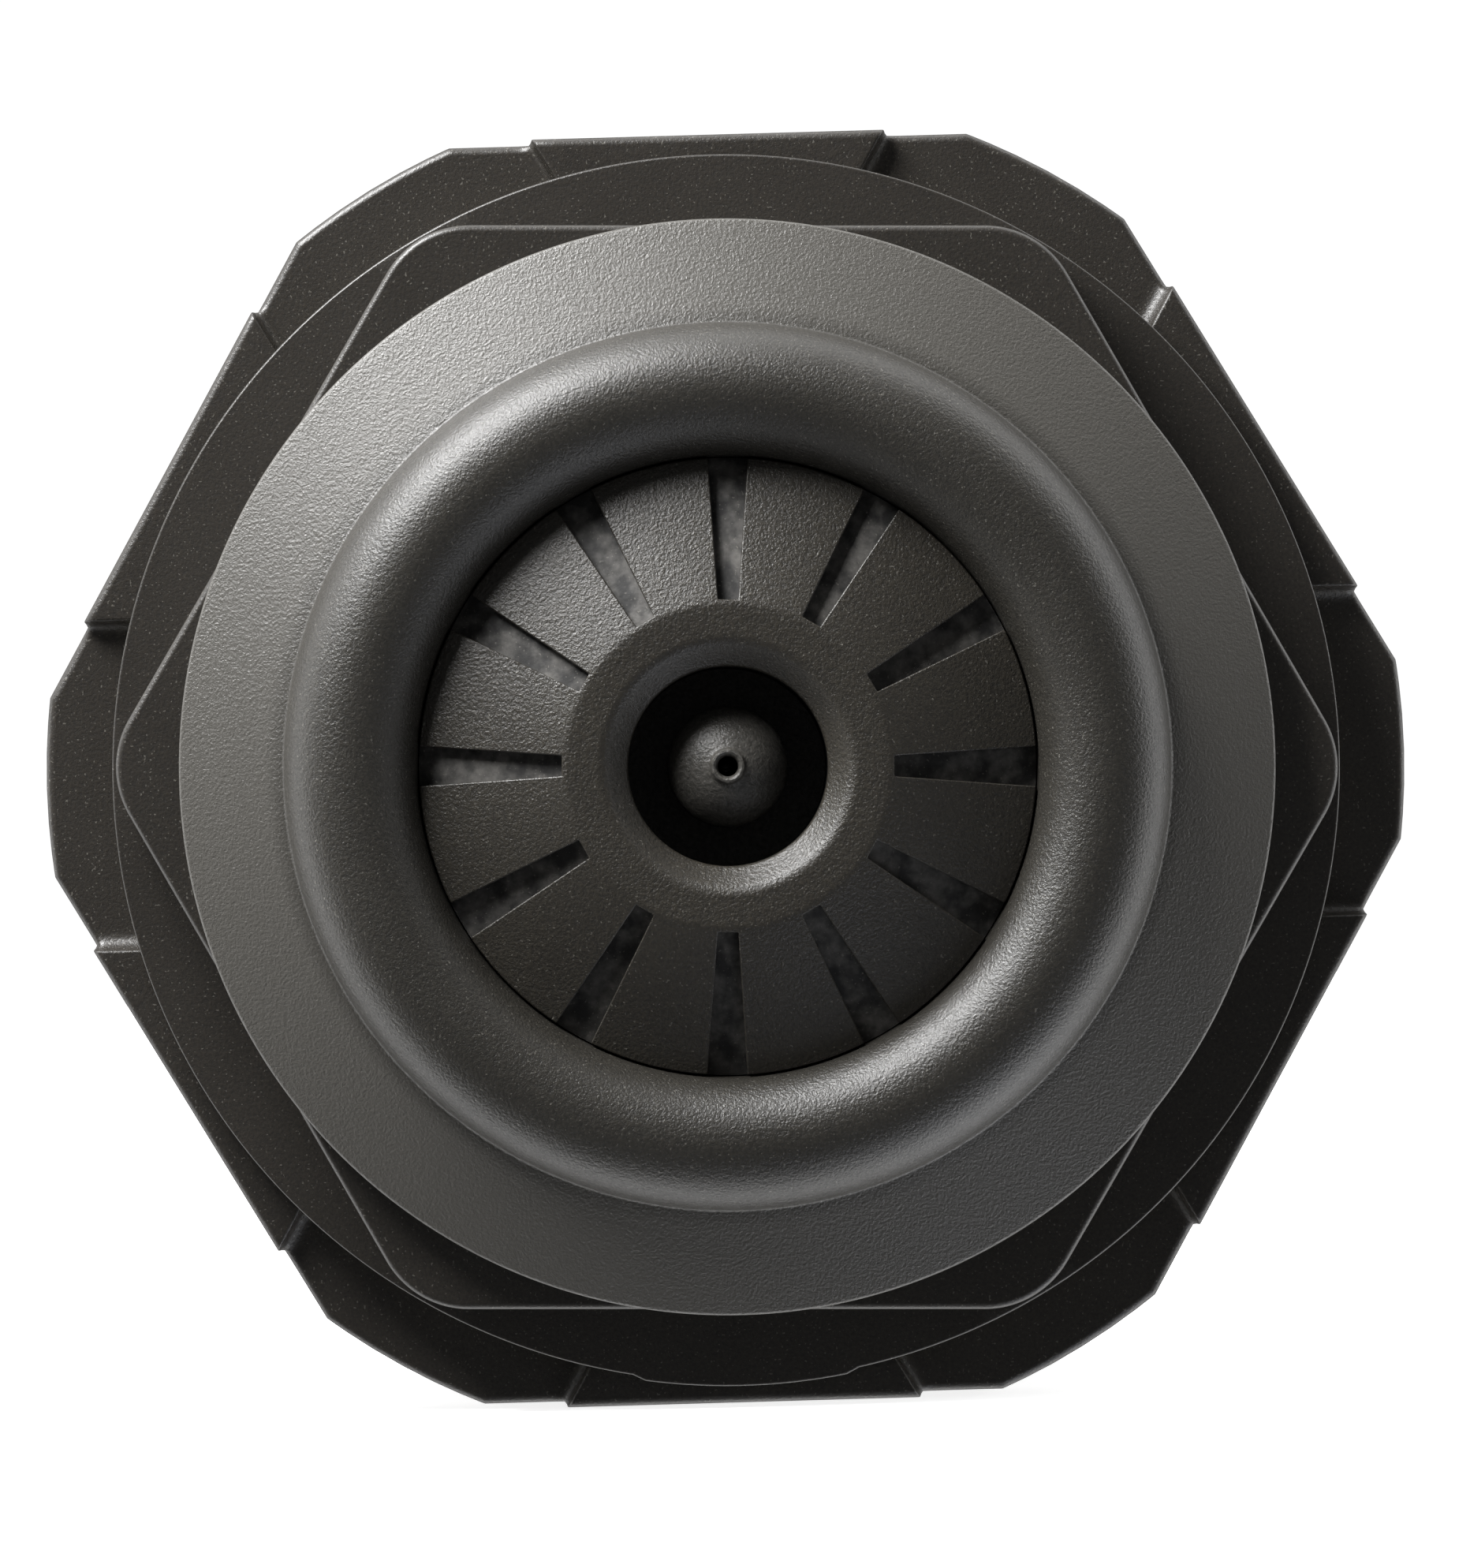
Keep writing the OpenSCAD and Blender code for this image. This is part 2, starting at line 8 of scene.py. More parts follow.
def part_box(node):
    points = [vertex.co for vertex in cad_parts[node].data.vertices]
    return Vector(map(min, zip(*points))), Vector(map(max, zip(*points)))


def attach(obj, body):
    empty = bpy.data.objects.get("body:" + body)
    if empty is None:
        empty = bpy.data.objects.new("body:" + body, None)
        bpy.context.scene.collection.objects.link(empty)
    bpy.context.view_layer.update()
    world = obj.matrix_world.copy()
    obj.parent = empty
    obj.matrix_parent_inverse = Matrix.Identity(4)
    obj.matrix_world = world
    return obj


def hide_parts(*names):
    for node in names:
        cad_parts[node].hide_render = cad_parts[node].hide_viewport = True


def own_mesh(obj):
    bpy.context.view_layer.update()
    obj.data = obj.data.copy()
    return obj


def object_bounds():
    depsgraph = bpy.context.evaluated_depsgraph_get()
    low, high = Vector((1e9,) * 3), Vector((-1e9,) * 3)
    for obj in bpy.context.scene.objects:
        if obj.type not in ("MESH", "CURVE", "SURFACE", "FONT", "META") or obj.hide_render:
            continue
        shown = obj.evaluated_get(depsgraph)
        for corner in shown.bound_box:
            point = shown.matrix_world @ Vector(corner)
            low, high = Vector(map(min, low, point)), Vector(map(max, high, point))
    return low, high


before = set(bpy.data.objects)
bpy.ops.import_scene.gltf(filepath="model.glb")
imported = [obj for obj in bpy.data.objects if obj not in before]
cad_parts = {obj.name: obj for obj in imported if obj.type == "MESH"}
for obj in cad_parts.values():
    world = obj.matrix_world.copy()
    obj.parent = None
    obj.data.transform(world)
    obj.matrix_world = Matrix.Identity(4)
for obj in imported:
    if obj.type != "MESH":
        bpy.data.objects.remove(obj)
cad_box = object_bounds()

# --------------------------------------------------------------------
# Barrel shell. A six-sided drum moulded in black-grey ABS: two end rings with a raised pad
# on each flat, a low channel across each corner, and a ribbed waist set in between them.
# --------------------------------------------------------------------
# Sizes are in millimetres. Depths run back from the crest of the flared collar's bead.
MM = 0.001
FRONT = cad_box[0][1] / MM
AXIS_HEIGHT = (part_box("stub_axle")[0][2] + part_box("stub_axle")[1][2]) / 2 / MM

SHELL_FRONT, SHELL_BACK = 23.5, 107.5
PAD_FLAT, LOW_FLAT, CORNER_RADIUS = 53.7, 53.25, 57.6
CHANNEL_HALF, CHANNEL_DEPTH, CHANNEL_FILLET, CHANNEL_EDGE = 13.9, 1.8, 1.45, 0.3
END_RING_LENGTH, WAIST = 14, 2.2
FACE_EDGE, BACK_EDGE, RING_EDGE, WAIST_EDGE = 0.7, 0.15, 0.5, 0.8
RECESS_RADIUS, RECESS_FLOOR, MOUTH_RADIUS = 51.2, 27.45, 47.5
LIP_RADIUS, LIP_FRONT, LIP_BACK, LINER_RADIUS = 46, 38, 41, 48
RIB_HALF, RIB_TOP, RIB_SPACING, RIB_OVERLAP = 1.2, LOW_FLAT - 0.4, 14, 0.6
COS_30 = math.cos(math.radians(30))


def feed(tree, node, inputs):
    """Gives a node's inputs their values. A value can be another node's output."""
    for name, value in inputs.items():
        if isinstance(value, bpy.types.NodeSocket):
            tree.links.new(value, node.inputs[name])
        else:
            node.inputs[name].default_value = value


def add_node(tree, kind, inputs=None, **settings):
    """Adds a node with its settings and its inputs' values and links."""
    made = tree.nodes.new(kind)
    for name, value in settings.items():
        setattr(made, name, value)
    feed(tree, made, inputs or {})
    return made


def linear(code):
    """The linear RGBA of an sRGB colour such as #3b3935."""
    parts = [int(code[i:i + 2], 16) / 255 for i in (1, 3, 5)]
    return [p / 12.92 if p <= 0.04045 else ((p + 0.055) / 1.055) ** 2.4 for p in parts] + [1.0]


def at(x, up, depth):
    """A point from millimetres right of the axis, above it, and behind the bead's crest."""
    return Vector((x, FRONT + depth, AXIS_HEIGHT + up)) * MM


def polar(radius, degrees, depth):
    """A point on a circle about the axis. Angles run anticlockwise as seen from the front."""
    turn = math.radians(degrees)
    return at(radius * math.cos(turn), radius * math.sin(turn), depth)


def skin(rows, around=False, along=False):
    """Quads between neighbouring rows of points, as a bmesh."""
    made = bmesh.new()
    grid = [[made.verts.new(p) for p in row] for row in rows]
    count = len(grid[0])
    for i in range(len(grid) if along else len(grid) - 1):
        low, high = grid[i], grid[(i + 1) % len(grid)]
        for j in range(count if around else count - 1):
            k = (j + 1) % count
            made.faces.new((low[j], low[k], high[k], high[j]))
    return made


def closed(made):
    """Joins the seams of a bmesh and turns its faces outwards."""
    bmesh.ops.remove_doubles(made, verts=made.verts, dist=0.002 * MM)
    bmesh.ops.dissolve_degenerate(made, edges=made.edges, dist=0.001 * MM)
    bmesh.ops.recalc_face_normals(made, faces=made.faces)
    return made


def as_mesh(name, *parts):
    """One mesh of several bmeshes."""
    whole = bmesh.new()
    for part in parts:
        scratch = bpy.data.meshes.new(name)
        part.to_mesh(scratch)
        part.free()
        whole.from_mesh(scratch)
        bpy.data.meshes.remove(scratch)
    mesh = bpy.data.meshes.new(name)
    whole.to_mesh(mesh)
    whole.free()
    return mesh


def new_tree(name, sizes, counts=()):
    """A Geometry Nodes tree with named inputs: a mesh, sizes, counts and a material."""
    tree = bpy.data.node_groups.new(name, "GeometryNodeTree")
    tree.is_modifier = True
    sockets = [("Piece", "Geometry")] + [(title, "Float") for title in sizes]
    sockets += [(title, "Int") for title in counts] + [("Material", "Material")]
    for title, kind in sockets:
        tree.interface.new_socket(title, in_out="INPUT", socket_type="NodeSocket" + kind)
    tree.interface.new_socket("Made", in_out="OUTPUT", socket_type="NodeSocketGeometry")
    return tree, tree.nodes.new("NodeGroupInput").outputs


def turned_copies(tree, shape, spot, count, first_angle):
    """Copies of a shape at one spot, each turned a step further about the barrel's axis."""
    spots = add_node(tree, "GeometryNodePoints", {"Count": count, "Position": spot})
    index = add_node(tree, "GeometryNodeInputIndex")
    step = add_node(tree, "ShaderNodeMath", {0: -math.tau, 1: count}, operation="DIVIDE")
    angle = add_node(tree, "ShaderNodeMath",
                     {0: index.outputs[0], 1: step.outputs[0], 2: first_angle},
                     operation="MULTIPLY_ADD")
    turn = add_node(tree, "FunctionNodeAxisAngleToRotation",
                    {"Axis": (0, 1, 0), "Angle": angle.outputs[0]})
    return add_node(tree, "GeometryNodeInstanceOnPoints",
                    {"Points": spots.outputs[0], "Instance": shape, "Rotation": turn.outputs[0]})


def end_tree(tree, shape, material):
    """Makes a tree's instances real, sets their material and puts them out."""
    real = add_node(tree, "GeometryNodeRealizeInstances", {"Geometry": shape.outputs[0]})
    coat = add_node(tree, "GeometryNodeSetMaterial",
                    {"Geometry": real.outputs[0], "Material": material})
    tree.links.new(coat.outputs[0], tree.nodes.new("NodeGroupOutput").inputs[0])
    return tree


def turn_tree():
    """Geometry Nodes tree that repeats a mesh in a circle about the barrel's axis."""
    tree, given = new_tree("repeat about the axis", ("First angle", "Axis height"), ("Count",))
    height = add_node(tree, "ShaderNodeCombineXYZ", {"Z": given["Axis height"]}).outputs[0]
    down = add_node(tree, "ShaderNodeVectorMath", {0: height, 1: (-1, -1, -1)},
                    operation="MULTIPLY")
    lowered = add_node(tree, "GeometryNodeTransform",
                       {"Geometry": given["Piece"], "Translation": down.outputs[0]})
    copies = turned_copies(tree, lowered.outputs[0], height, given["Count"],
                           given["First angle"])
    return end_tree(tree, copies, given["Material"])


def grown(tree, mesh, **values):
    """The plain mesh that a Geometry Nodes tree makes of a mesh, with its inputs by name."""
    holder = bpy.data.objects.new(mesh.name, mesh)
    bpy.context.scene.collection.objects.link(holder)
    modifier = holder.modifiers.new("grow", "NODES")
    modifier.node_group = tree
    values["Axis_height"] = AXIS_HEIGHT * MM
    for socket in tree.interface.items_tree:
        key = socket.name.replace(" ", "_")
        if socket.in_out == "INPUT" and key in values:
            modifier[socket.identifier] = values[key]
    seen = holder.evaluated_get(bpy.context.evaluated_depsgraph_get())
    made = bpy.data.meshes.new_from_object(seen)
    holder.modifiers.remove(modifier)
    bpy.data.objects.remove(holder)
    return made


def soften(made, width, over):
    """Rounds an object's edges where they turn by more than an angle, and keeps its flat faces
    flat."""
    if width:
        eased = made.modifiers.new("eased edges", "BEVEL")
        eased.width = width * MM
        eased.segments = 2
        eased.limit_method = "ANGLE"
        eased.angle_limit = math.radians(over)
    flat = made.modifiers.new("flat faces", "WEIGHTED_NORMAL")
    flat.keep_sharp = True


def piece(name, mesh, material, body, nodes, crisp=32, ease=0):
    """Finishes a mesh as a named piece: seams joined, edges eased, and flat faces kept flat."""
    shape = bmesh.new()
    shape.from_mesh(mesh)
    closed(shape)
    shape.to_mesh(mesh)
    shape.free()
    mesh.name = name
    mesh.materials.clear()
    mesh.materials.append(material)
    for face in mesh.polygons:
        face.use_smooth = True
        face.material_index = 0
    mesh.set_sharp_from_angle(angle=math.radians(crisp))
    made = bpy.data.objects.new(name, mesh)
    bpy.context.scene.collection.objects.link(made)
    soften(made, ease, 55)
    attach(made, body)
    if nodes:
        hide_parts(*nodes)
    return made


def new_material(name, settings):
    """A material, its node tree, and its shader with some settings."""
    material = bpy.data.materials.new(name)
    material.use_nodes = True
    tree = material.node_tree
    shader = tree.nodes["Principled BSDF"]
    feed(tree, shader, settings)
    return material, tree, shader


def moulded(name, colour, shade, roughness=0.36, grain=0.28, relief=0.045, specks=0.28,
            clouds=7, mottle=0):
    """A plastic from a spark-eroded mould: a leathery grain with painted shade in its valleys and
    a painted highlight on its high points, clouds of shade, and a few pale flecks that are partly
    dust and partly painted glints. Sizes are in millimetres."""
    material, tree, shader = new_material(name, {"IOR": 1.53})
    spot = add_node(tree, "ShaderNodeTexCoord").outputs["Object"]
    cloud = add_node(tree, "ShaderNodeTexNoise",
                     {"Vector": spot, "Scale": 1 / (clouds * MM), "Detail": 3})
    patches = add_node(tree, "ShaderNodeMapRange",
                       {"Value": cloud.outputs["Fac"], "From Min": 0.2 + mottle / 2,
                        "From Max": 0.8 - mottle / 2})
    base = add_node(tree, "ShaderNodeMix",
                    {"Factor": patches.outputs[0], "A": linear(colour), "B": linear(shade)},
                    data_type="RGBA")
    wrinkles = add_node(tree, "ShaderNodeTexNoise",
                        {"Vector": spot, "Scale": 1 / (grain * MM), "Detail": 3,
                         "Roughness": 0.62}).outputs["Fac"]
    # Painted shade and painted highlight on the grain: the colour is scaled darker in the
    # wrinkles' valleys and paler on their high points
    depth = add_node(tree, "ShaderNodeMapRange",
                     {"Value": wrinkles, "From Min": 0.32, "From Max": 0.68, "To Min": 0.6,
                      "To Max": 1.4})
    grain_painted_light = add_node(tree, "ShaderNodeVectorMath",
                      {0: base.outputs["Result"], "Scale": depth.outputs[0]}, operation="SCALE")
    # Pale flecks, partly dust and partly painted glints: small pale spots mixed into the colour
    # everywhere
    fleck = add_node(tree, "ShaderNodeTexNoise",
                     {"Vector": spot, "Scale": 1 / (0.2 * MM), "Detail": 0})
    dust = add_node(tree, "ShaderNodeMapRange",
                    {"Value": fleck.outputs["Fac"], "From Min": 0.74, "From Max": 0.8,
                     "To Max": specks})
    tone = add_node(tree, "ShaderNodeMix",
                    {"Factor": dust.outputs[0], "A": grain_painted_light.outputs[0], "B": linear("#8d8a82")},
                    data_type="RGBA")
    gloss = add_node(tree, "ShaderNodeMapRange",
                     {"Value": wrinkles, "From Min": 0.3, "From Max": 0.7,
                      "To Min": roughness + 0.08, "To Max": roughness - 0.05})
    bump = add_node(tree, "ShaderNodeBump", {"Height": wrinkles, "Distance": relief * MM})
    feed(tree, shader, {"Base Color": tone.outputs["Result"], "Roughness": gloss.outputs[0],
                        "Normal": bump.outputs[0]})
    return material


# Offsets from a corner's middle line: the channel, its filleted foot and its soft top edge
offsets = [0, 3, 5.5, 7, 7.4, 7.62, 7.85, 8.4, 10, 12, CHANNEL_HALF - CHANNEL_FILLET]
offsets += [CHANNEL_HALF + CHANNEL_FILLET * (math.sin(math.radians(a)) - 1)
            for a in (15, 30, 45, 60, 75, 90)]
offsets += [CHANNEL_HALF + CHANNEL_EDGE * (1 - math.cos(math.radians(a)))
            for a in (8, 30, 60, 90)]
last_offset = offsets[-1]
stations = [(-u, 0) for u in reversed(offsets[1:])] + [(u, 0) for u in offsets]
pad_shares = (0.1, 0.4, 0.7, 1)
stations = ([(-last_offset, -t) for t in reversed(pad_shares)] + stations
            + [(last_offset, t) for t in pad_shares])


def channel_rise(offset):
    """How far the end face stands in front of the channel's floor at an offset."""
    a = abs(offset)
    start = CHANNEL_HALF - CHANNEL_FILLET
    if a <= start:
        return 0
    if a <= CHANNEL_HALF:
        return CHANNEL_FILLET - math.sqrt(max(0, CHANNEL_FILLET ** 2 - (a - start) ** 2))
    edge = CHANNEL_HALF + CHANNEL_EDGE - a
    return CHANNEL_DEPTH - CHANNEL_EDGE + math.sqrt(max(0, CHANNEL_EDGE ** 2 - edge ** 2))


def smooth_step(value, low, high):
    """From 0 to 1 as a value goes from low to high, with soft ends."""
    share = min(1, max(0, (value - low) / (high - low)))
    return share * share * (3 - 2 * share)


def on_circle(station, radius):
    """Where a station meets a circle, for the corner that points right."""
    offset, share = station
    start = math.degrees(math.asin(min(1, abs(offset) / radius)))
    angle = math.copysign(start + (30 - start) * abs(share), offset)
    return radius * math.cos(math.radians(angle)), radius * math.sin(math.radians(angle))


def on_side(station, inset, padded=True):
    """Where a station meets the six-sided outline, moved in by an inset."""
    offset, share = station
    raised = smooth_step(abs(offset), CHANNEL_HALF - 0.45, CHANNEL_HALF + 0.1) if padded else 0
    flat = LOW_FLAT + (PAD_FLAT - LOW_FLAT) * raised - inset
    out = (flat - abs(offset) / 2) / COS_30
    out = min(out, math.sqrt((CORNER_RADIUS - inset) ** 2 - offset ** 2))
    middle = flat * COS_30, math.copysign(flat / 2, offset)
    return (out + (middle[0] - out) * abs(share), offset + (middle[1] - offset) * abs(share))


def ring_row(find, size, depth, front=False, **options):
    """A row of points across one sixth of the shell."""
    row = []
    for station in stations:
        x, up = find(station, size, **options)
        back = CHANNEL_DEPTH - channel_rise(station[0]) if front else 0
        row.append(at(x, up, depth + back))
    return row


def corner_arc(radius, steps=6):
    """Inset and depth along a quarter circle, from the face to the side."""
    return [(radius * (1 - math.sin(a)), radius * (1 - math.cos(a)))
            for a in (math.pi / 2 * i / steps for i in range(steps + 1))]


ring_back, waist_back = SHELL_FRONT + END_RING_LENGTH, SHELL_BACK - END_RING_LENGTH
rows = [ring_row(on_circle, MOUTH_RADIUS, RECESS_FLOOR),
        ring_row(on_circle, RECESS_RADIUS, RECESS_FLOOR)]
rows += [ring_row(on_circle, RECESS_RADIUS + wider, SHELL_FRONT + back, front=True)
         for wider, back in ((0, 0.3), (0.08, 0.1), (0.3, 0))]
rows += [ring_row(on_side, inset, SHELL_FRONT + back, front=True)
         for inset, back in corner_arc(FACE_EDGE)]
rows += [ring_row(on_side, inset, ring_back - back)
         for inset, back in reversed(corner_arc(RING_EDGE, 3))]
rows += [ring_row(on_side, WAIST - inset, ring_back + back, padded=False)
         for inset, back in corner_arc(WAIST_EDGE, 4)]
rows += [ring_row(on_side, WAIST - inset, waist_back - back, padded=False)
         for inset, back in reversed(corner_arc(WAIST_EDGE, 4))]
rows += [ring_row(on_side, inset, waist_back + back)
         for inset, back in corner_arc(RING_EDGE, 3)]
rows += [ring_row(on_side, 0, SHELL_BACK - BACK_EDGE), ring_row(on_side, BACK_EDGE, SHELL_BACK)]
rows += [ring_row(on_circle, radius, depth)
         for radius, depth in ((LINER_RADIUS, SHELL_BACK), (LINER_RADIUS, LIP_BACK),
                               (LIP_RADIUS, LIP_BACK), (LIP_RADIUS, LIP_FRONT),
                               (MOUTH_RADIUS, LIP_FRONT))]
sixth = skin(rows, along=True)

# Three waist ribs on a flat, each a bar with a round top and a flared root
waist_level = LOW_FLAT - WAIST
rib_section = [(-RIB_HALF - 0.7, waist_level - 0.25), (-RIB_HALF - 0.6, waist_level + 0.02),
               (-RIB_HALF - 0.2, waist_level + 0.2), (-RIB_HALF, waist_level + 0.6),
               (-RIB_HALF, RIB_TOP - 0.45), (-RIB_HALF + 0.13, RIB_TOP - 0.13),
               (-RIB_HALF + 0.45, RIB_TOP)]
rib_section += [(-x, y) for x, y in reversed(rib_section)]
flat_way = Vector((-0.5, COS_30))
flat_out = Vector((COS_30, 0.5))
ribs = []
for middle in (-RIB_SPACING, 0, RIB_SPACING):
    ends = []
    for depth in (ring_back - RIB_OVERLAP, waist_back + RIB_OVERLAP):
        spots = [flat_out * y + flat_way * (middle + x) for x, y in rib_section]
        ends.append([at(p.x, p.y, depth) for p in spots])
    rib = skin(ends, around=True)
    rib.verts.ensure_lookup_table()
    count = len(rib_section)
    rib.faces.new(rib.verts[:count])
    rib.faces.new(list(rib.verts[count:])[::-1])
    ribs.append(closed(rib))

# ABS from a spark-eroded mould: a fine leathery grain that breaks each reflection into small
# sparks, over a warm black-grey that is never quite even
shell_abs = moulded("black-grey ABS, moulded, spark-eroded grain", "#2a2723", "#24211d")
repeat = turn_tree()
shell_mesh = grown(repeat, as_mesh("barrel_shell_moulding", sixth, *ribs), Count=6,
                   First_angle=0.0, Material=shell_abs)
piece("barrel_shell_moulding", shell_mesh, shell_abs, "barrel", ["barrel_shell"])

# --------------------------------------------------------------------
# Lid body. A hexagon to turn the lid by, on a round flange with a low locating tab, with a
# threaded skirt and the valve's housing behind. One ABS moulding, in the shell's grain.
# --------------------------------------------------------------------
LID_CLOCK = -1.65
HEX_FLAT, HEX_ROUND, HEX_FRONT, HEX_EDGE, HEX_INSIDE = 45.4, 8.0, 11.5, 0.55, 41
FLANGE_RADIUS, FLANGE_FRONT, FLANGE_BACK, FLANGE_EDGE = 51.8, 20, 23.3, 0.2
TAB_HEIGHT, TAB_START, TAB_END = 0.35, 9.9, 10.3
SKIRT_RADIUS, SKIRT_INSIDE, SKIRT_BACK = 44, 39.5, 38
HOUSING_RADIUS, HOUSING_BACK = 15, 34
POCKET_RADIUS, NIPPLE_POCKET_END, SEAT_POCKET_START, BALL_BORE_RADIUS = 6.2, 24, 29, 3.3
THREAD_START, THREAD_LEAD, THREAD_STARTS, THREAD_TURNS = 28.7, 12, 3, 0.62
THREAD_SINK, THREAD_HEIGHT, THREAD_WIDTH = 0.35, 2.3, 2.3

# Directions of the lid's points: close together round the hexagon's corners, then wider apart
half_side = [0.4 * i for i in range(13)] + [5 + 1.25 * i for i in range(21)]
lid_angles = sorted({round(60 * k + s * a, 4) % 360 for k in range(6) for a in half_side
                     for s in (-1, 1)})


def hex_reach(degrees, inset):
    """Distance from the axis to the round-cornered hexagon, less an inset, in a direction."""
    off = abs((degrees + 30) % 60 - 30)
    reach = (HEX_FLAT - HEX_ROUND) / COS_30
    flat = (HEX_FLAT - inset) / math.cos(math.radians(30 - off))
    tangent = math.degrees(math.atan2((HEX_ROUND - inset) * 0.5,
                                      reach + (HEX_ROUND - inset) * COS_30))
    if off >= tangent:
        return flat
    across = reach * math.sin(math.radians(off))
    return reach * math.cos(math.radians(off)) + math.sqrt((HEX_ROUND - inset) ** 2 - across ** 2)


def lid_row(radius, depth, hexagon=False, tab=False):
    """A row of points round the lid. On the hexagon, the radius is an inset from its outline."""
    row = []
    for degrees in lid_angles:
        size = hex_reach(degrees, radius) if hexagon else radius
        if tab:
            off = abs((degrees + LID_CLOCK - 270 + 180) % 360 - 180)
            size += TAB_HEIGHT * (1 - smooth_step(off, TAB_START, TAB_END))
        row.append(polar(size, degrees + LID_CLOCK, depth))
    return row


def eased_profile(corners, steps=4):
    """Points of a section in which each corner (radius, depth, rounding) has its own arc."""
    points = []
    for i, (x, y, rounding) in enumerate(corners):
        here = Vector((x, y))
        before = Vector(corners[i - 1][:2]) - here
        after = Vector(corners[(i + 1) % len(corners)][:2]) - here
        if not rounding:
            points.append((x, y))
            continue
        half = before.angle(after) / 2
        cut = rounding / math.tan(half)
        centre = here + (before.normalized() + after.normalized()).normalized() * (
            rounding / math.sin(half))
        first = here + before.normalized() * cut - centre
        final = here + after.normalized() * cut - centre
        sweep = first.angle_signed(final)
        for k in range(steps + 1):
            spoke = first.copy()
            spoke.rotate(Matrix.Rotation(-sweep * k / steps, 2))
            points.append(tuple(centre + spoke))
    return points


lid_rows = [lid_row(radius, depth) for radius, depth in (
    (BALL_BORE_RADIUS, NIPPLE_POCKET_END), (BALL_BORE_RADIUS, SEAT_POCKET_START),
    (POCKET_RADIUS, SEAT_POCKET_START), (POCKET_RADIUS, HOUSING_BACK),
    (HOUSING_RADIUS - 0.4, HOUSING_BACK), (HOUSING_RADIUS - 0.1, HOUSING_BACK - 0.1),
    (HOUSING_RADIUS, HOUSING_BACK - 0.4), (HOUSING_RADIUS, FLANGE_BACK),
    (SKIRT_INSIDE, FLANGE_BACK), (SKIRT_INSIDE, SKIRT_BACK - 0.4),
    (SKIRT_INSIDE + 0.1, SKIRT_BACK - 0.1), (SKIRT_INSIDE + 0.4, SKIRT_BACK),
    (SKIRT_RADIUS - 0.5, SKIRT_BACK), (SKIRT_RADIUS - 0.1, SKIRT_BACK - 0.1),
    (SKIRT_RADIUS, SKIRT_BACK - 0.5), (SKIRT_RADIUS, FLANGE_BACK))]
lid_rows += [lid_row(FLANGE_RADIUS - inset, FLANGE_BACK - ahead, tab=True)
             for inset, ahead in ((FLANGE_EDGE, 0), (0.06, 0.06), (0, FLANGE_EDGE))]
lid_rows += [lid_row(FLANGE_RADIUS - inset, FLANGE_FRONT + back, tab=True)
             for inset, back in reversed(corner_arc(FLANGE_EDGE, 4))]
lid_rows.append(lid_row(0, FLANGE_FRONT, hexagon=True))
lid_rows += [lid_row(inset, HEX_FRONT + back, hexagon=True)
             for inset, back in reversed(corner_arc(HEX_EDGE, 6))]
lid_rows += [lid_row(radius, depth) for radius, depth in (
    (HEX_INSIDE, HEX_FRONT), (HEX_INSIDE, FLANGE_FRONT), (POCKET_RADIUS, FLANGE_FRONT),
    (POCKET_RADIUS, NIPPLE_POCKET_END))]


def thread_tree():
    """Geometry Nodes tree of a thread: helical ridges of a trapezoid section that fade in and
    out at their ends, about the barrel's axis."""
    tree, given = new_tree("thread", ("Radius", "Height", "Root width", "Lead", "Turns",
                                      "First depth", "First angle", "Axis height"), ("Starts",))
    rise = add_node(tree, "ShaderNodeMath", {0: given["Lead"], 1: given["Turns"]},
                    operation="MULTIPLY")
    helix = add_node(tree, "GeometryNodeCurveSpiral",
                     {"Resolution": 96, "Rotations": given["Turns"],
                      "Start Radius": given["Radius"], "End Radius": given["Radius"],
                      "Height": rise.outputs[0], "Reverse": True})
    upright = add_node(tree, "GeometryNodeSetCurveNormal", {"Curve": helix.outputs[0]},
                       mode="Z_UP")
    share = add_node(tree, "GeometryNodeSplineParameter")
    fade = add_node(tree, "ShaderNodeMath", {0: share.outputs["Factor"], 1: math.pi},
                    operation="MULTIPLY")
    swell = add_node(tree, "ShaderNodeMath", {0: fade.outputs[0]}, operation="SINE")
    size = add_node(tree, "ShaderNodeMapRange",
                    {"Value": swell.outputs[0], "From Max": 0.25, "To Min": 0.12})
    swelled = add_node(tree, "GeometryNodeSetCurveRadius",
                       {"Curve": upright.outputs[0], "Radius": size.outputs[0]})
    crest = add_node(tree, "ShaderNodeMath", {0: given["Root width"], 1: 0.52},
                     operation="MULTIPLY")
    section = add_node(tree, "GeometryNodeCurvePrimitiveQuadrilateral",
                       {"Bottom Width": given["Root width"], "Top Width": crest.outputs[0],
                        "Height": given["Height"], "Offset": 0.0}, mode="TRAPEZOID")
    quarter = add_node(tree, "GeometryNodeTransform",
                       {"Geometry": section.outputs[0], "Rotation": (0, 0, -math.pi / 2)})
    ridge = add_node(tree, "GeometryNodeCurveToMesh",
                     {"Curve": swelled.outputs[0], "Profile Curve": quarter.outputs[0],
                      "Fill Caps": True})
    lay = add_node(tree, "GeometryNodeTransform",
                   {"Geometry": ridge.outputs[0], "Rotation": (-math.pi / 2, 0, 0)})
    place = add_node(tree, "ShaderNodeCombineXYZ",
                     {"Y": given["First depth"], "Z": given["Axis height"]})
    copies = turned_copies(tree, lay.outputs[0], place.outputs[0], given["Starts"],
                           given["First angle"])
    return end_tree(tree, copies, given["Material"])


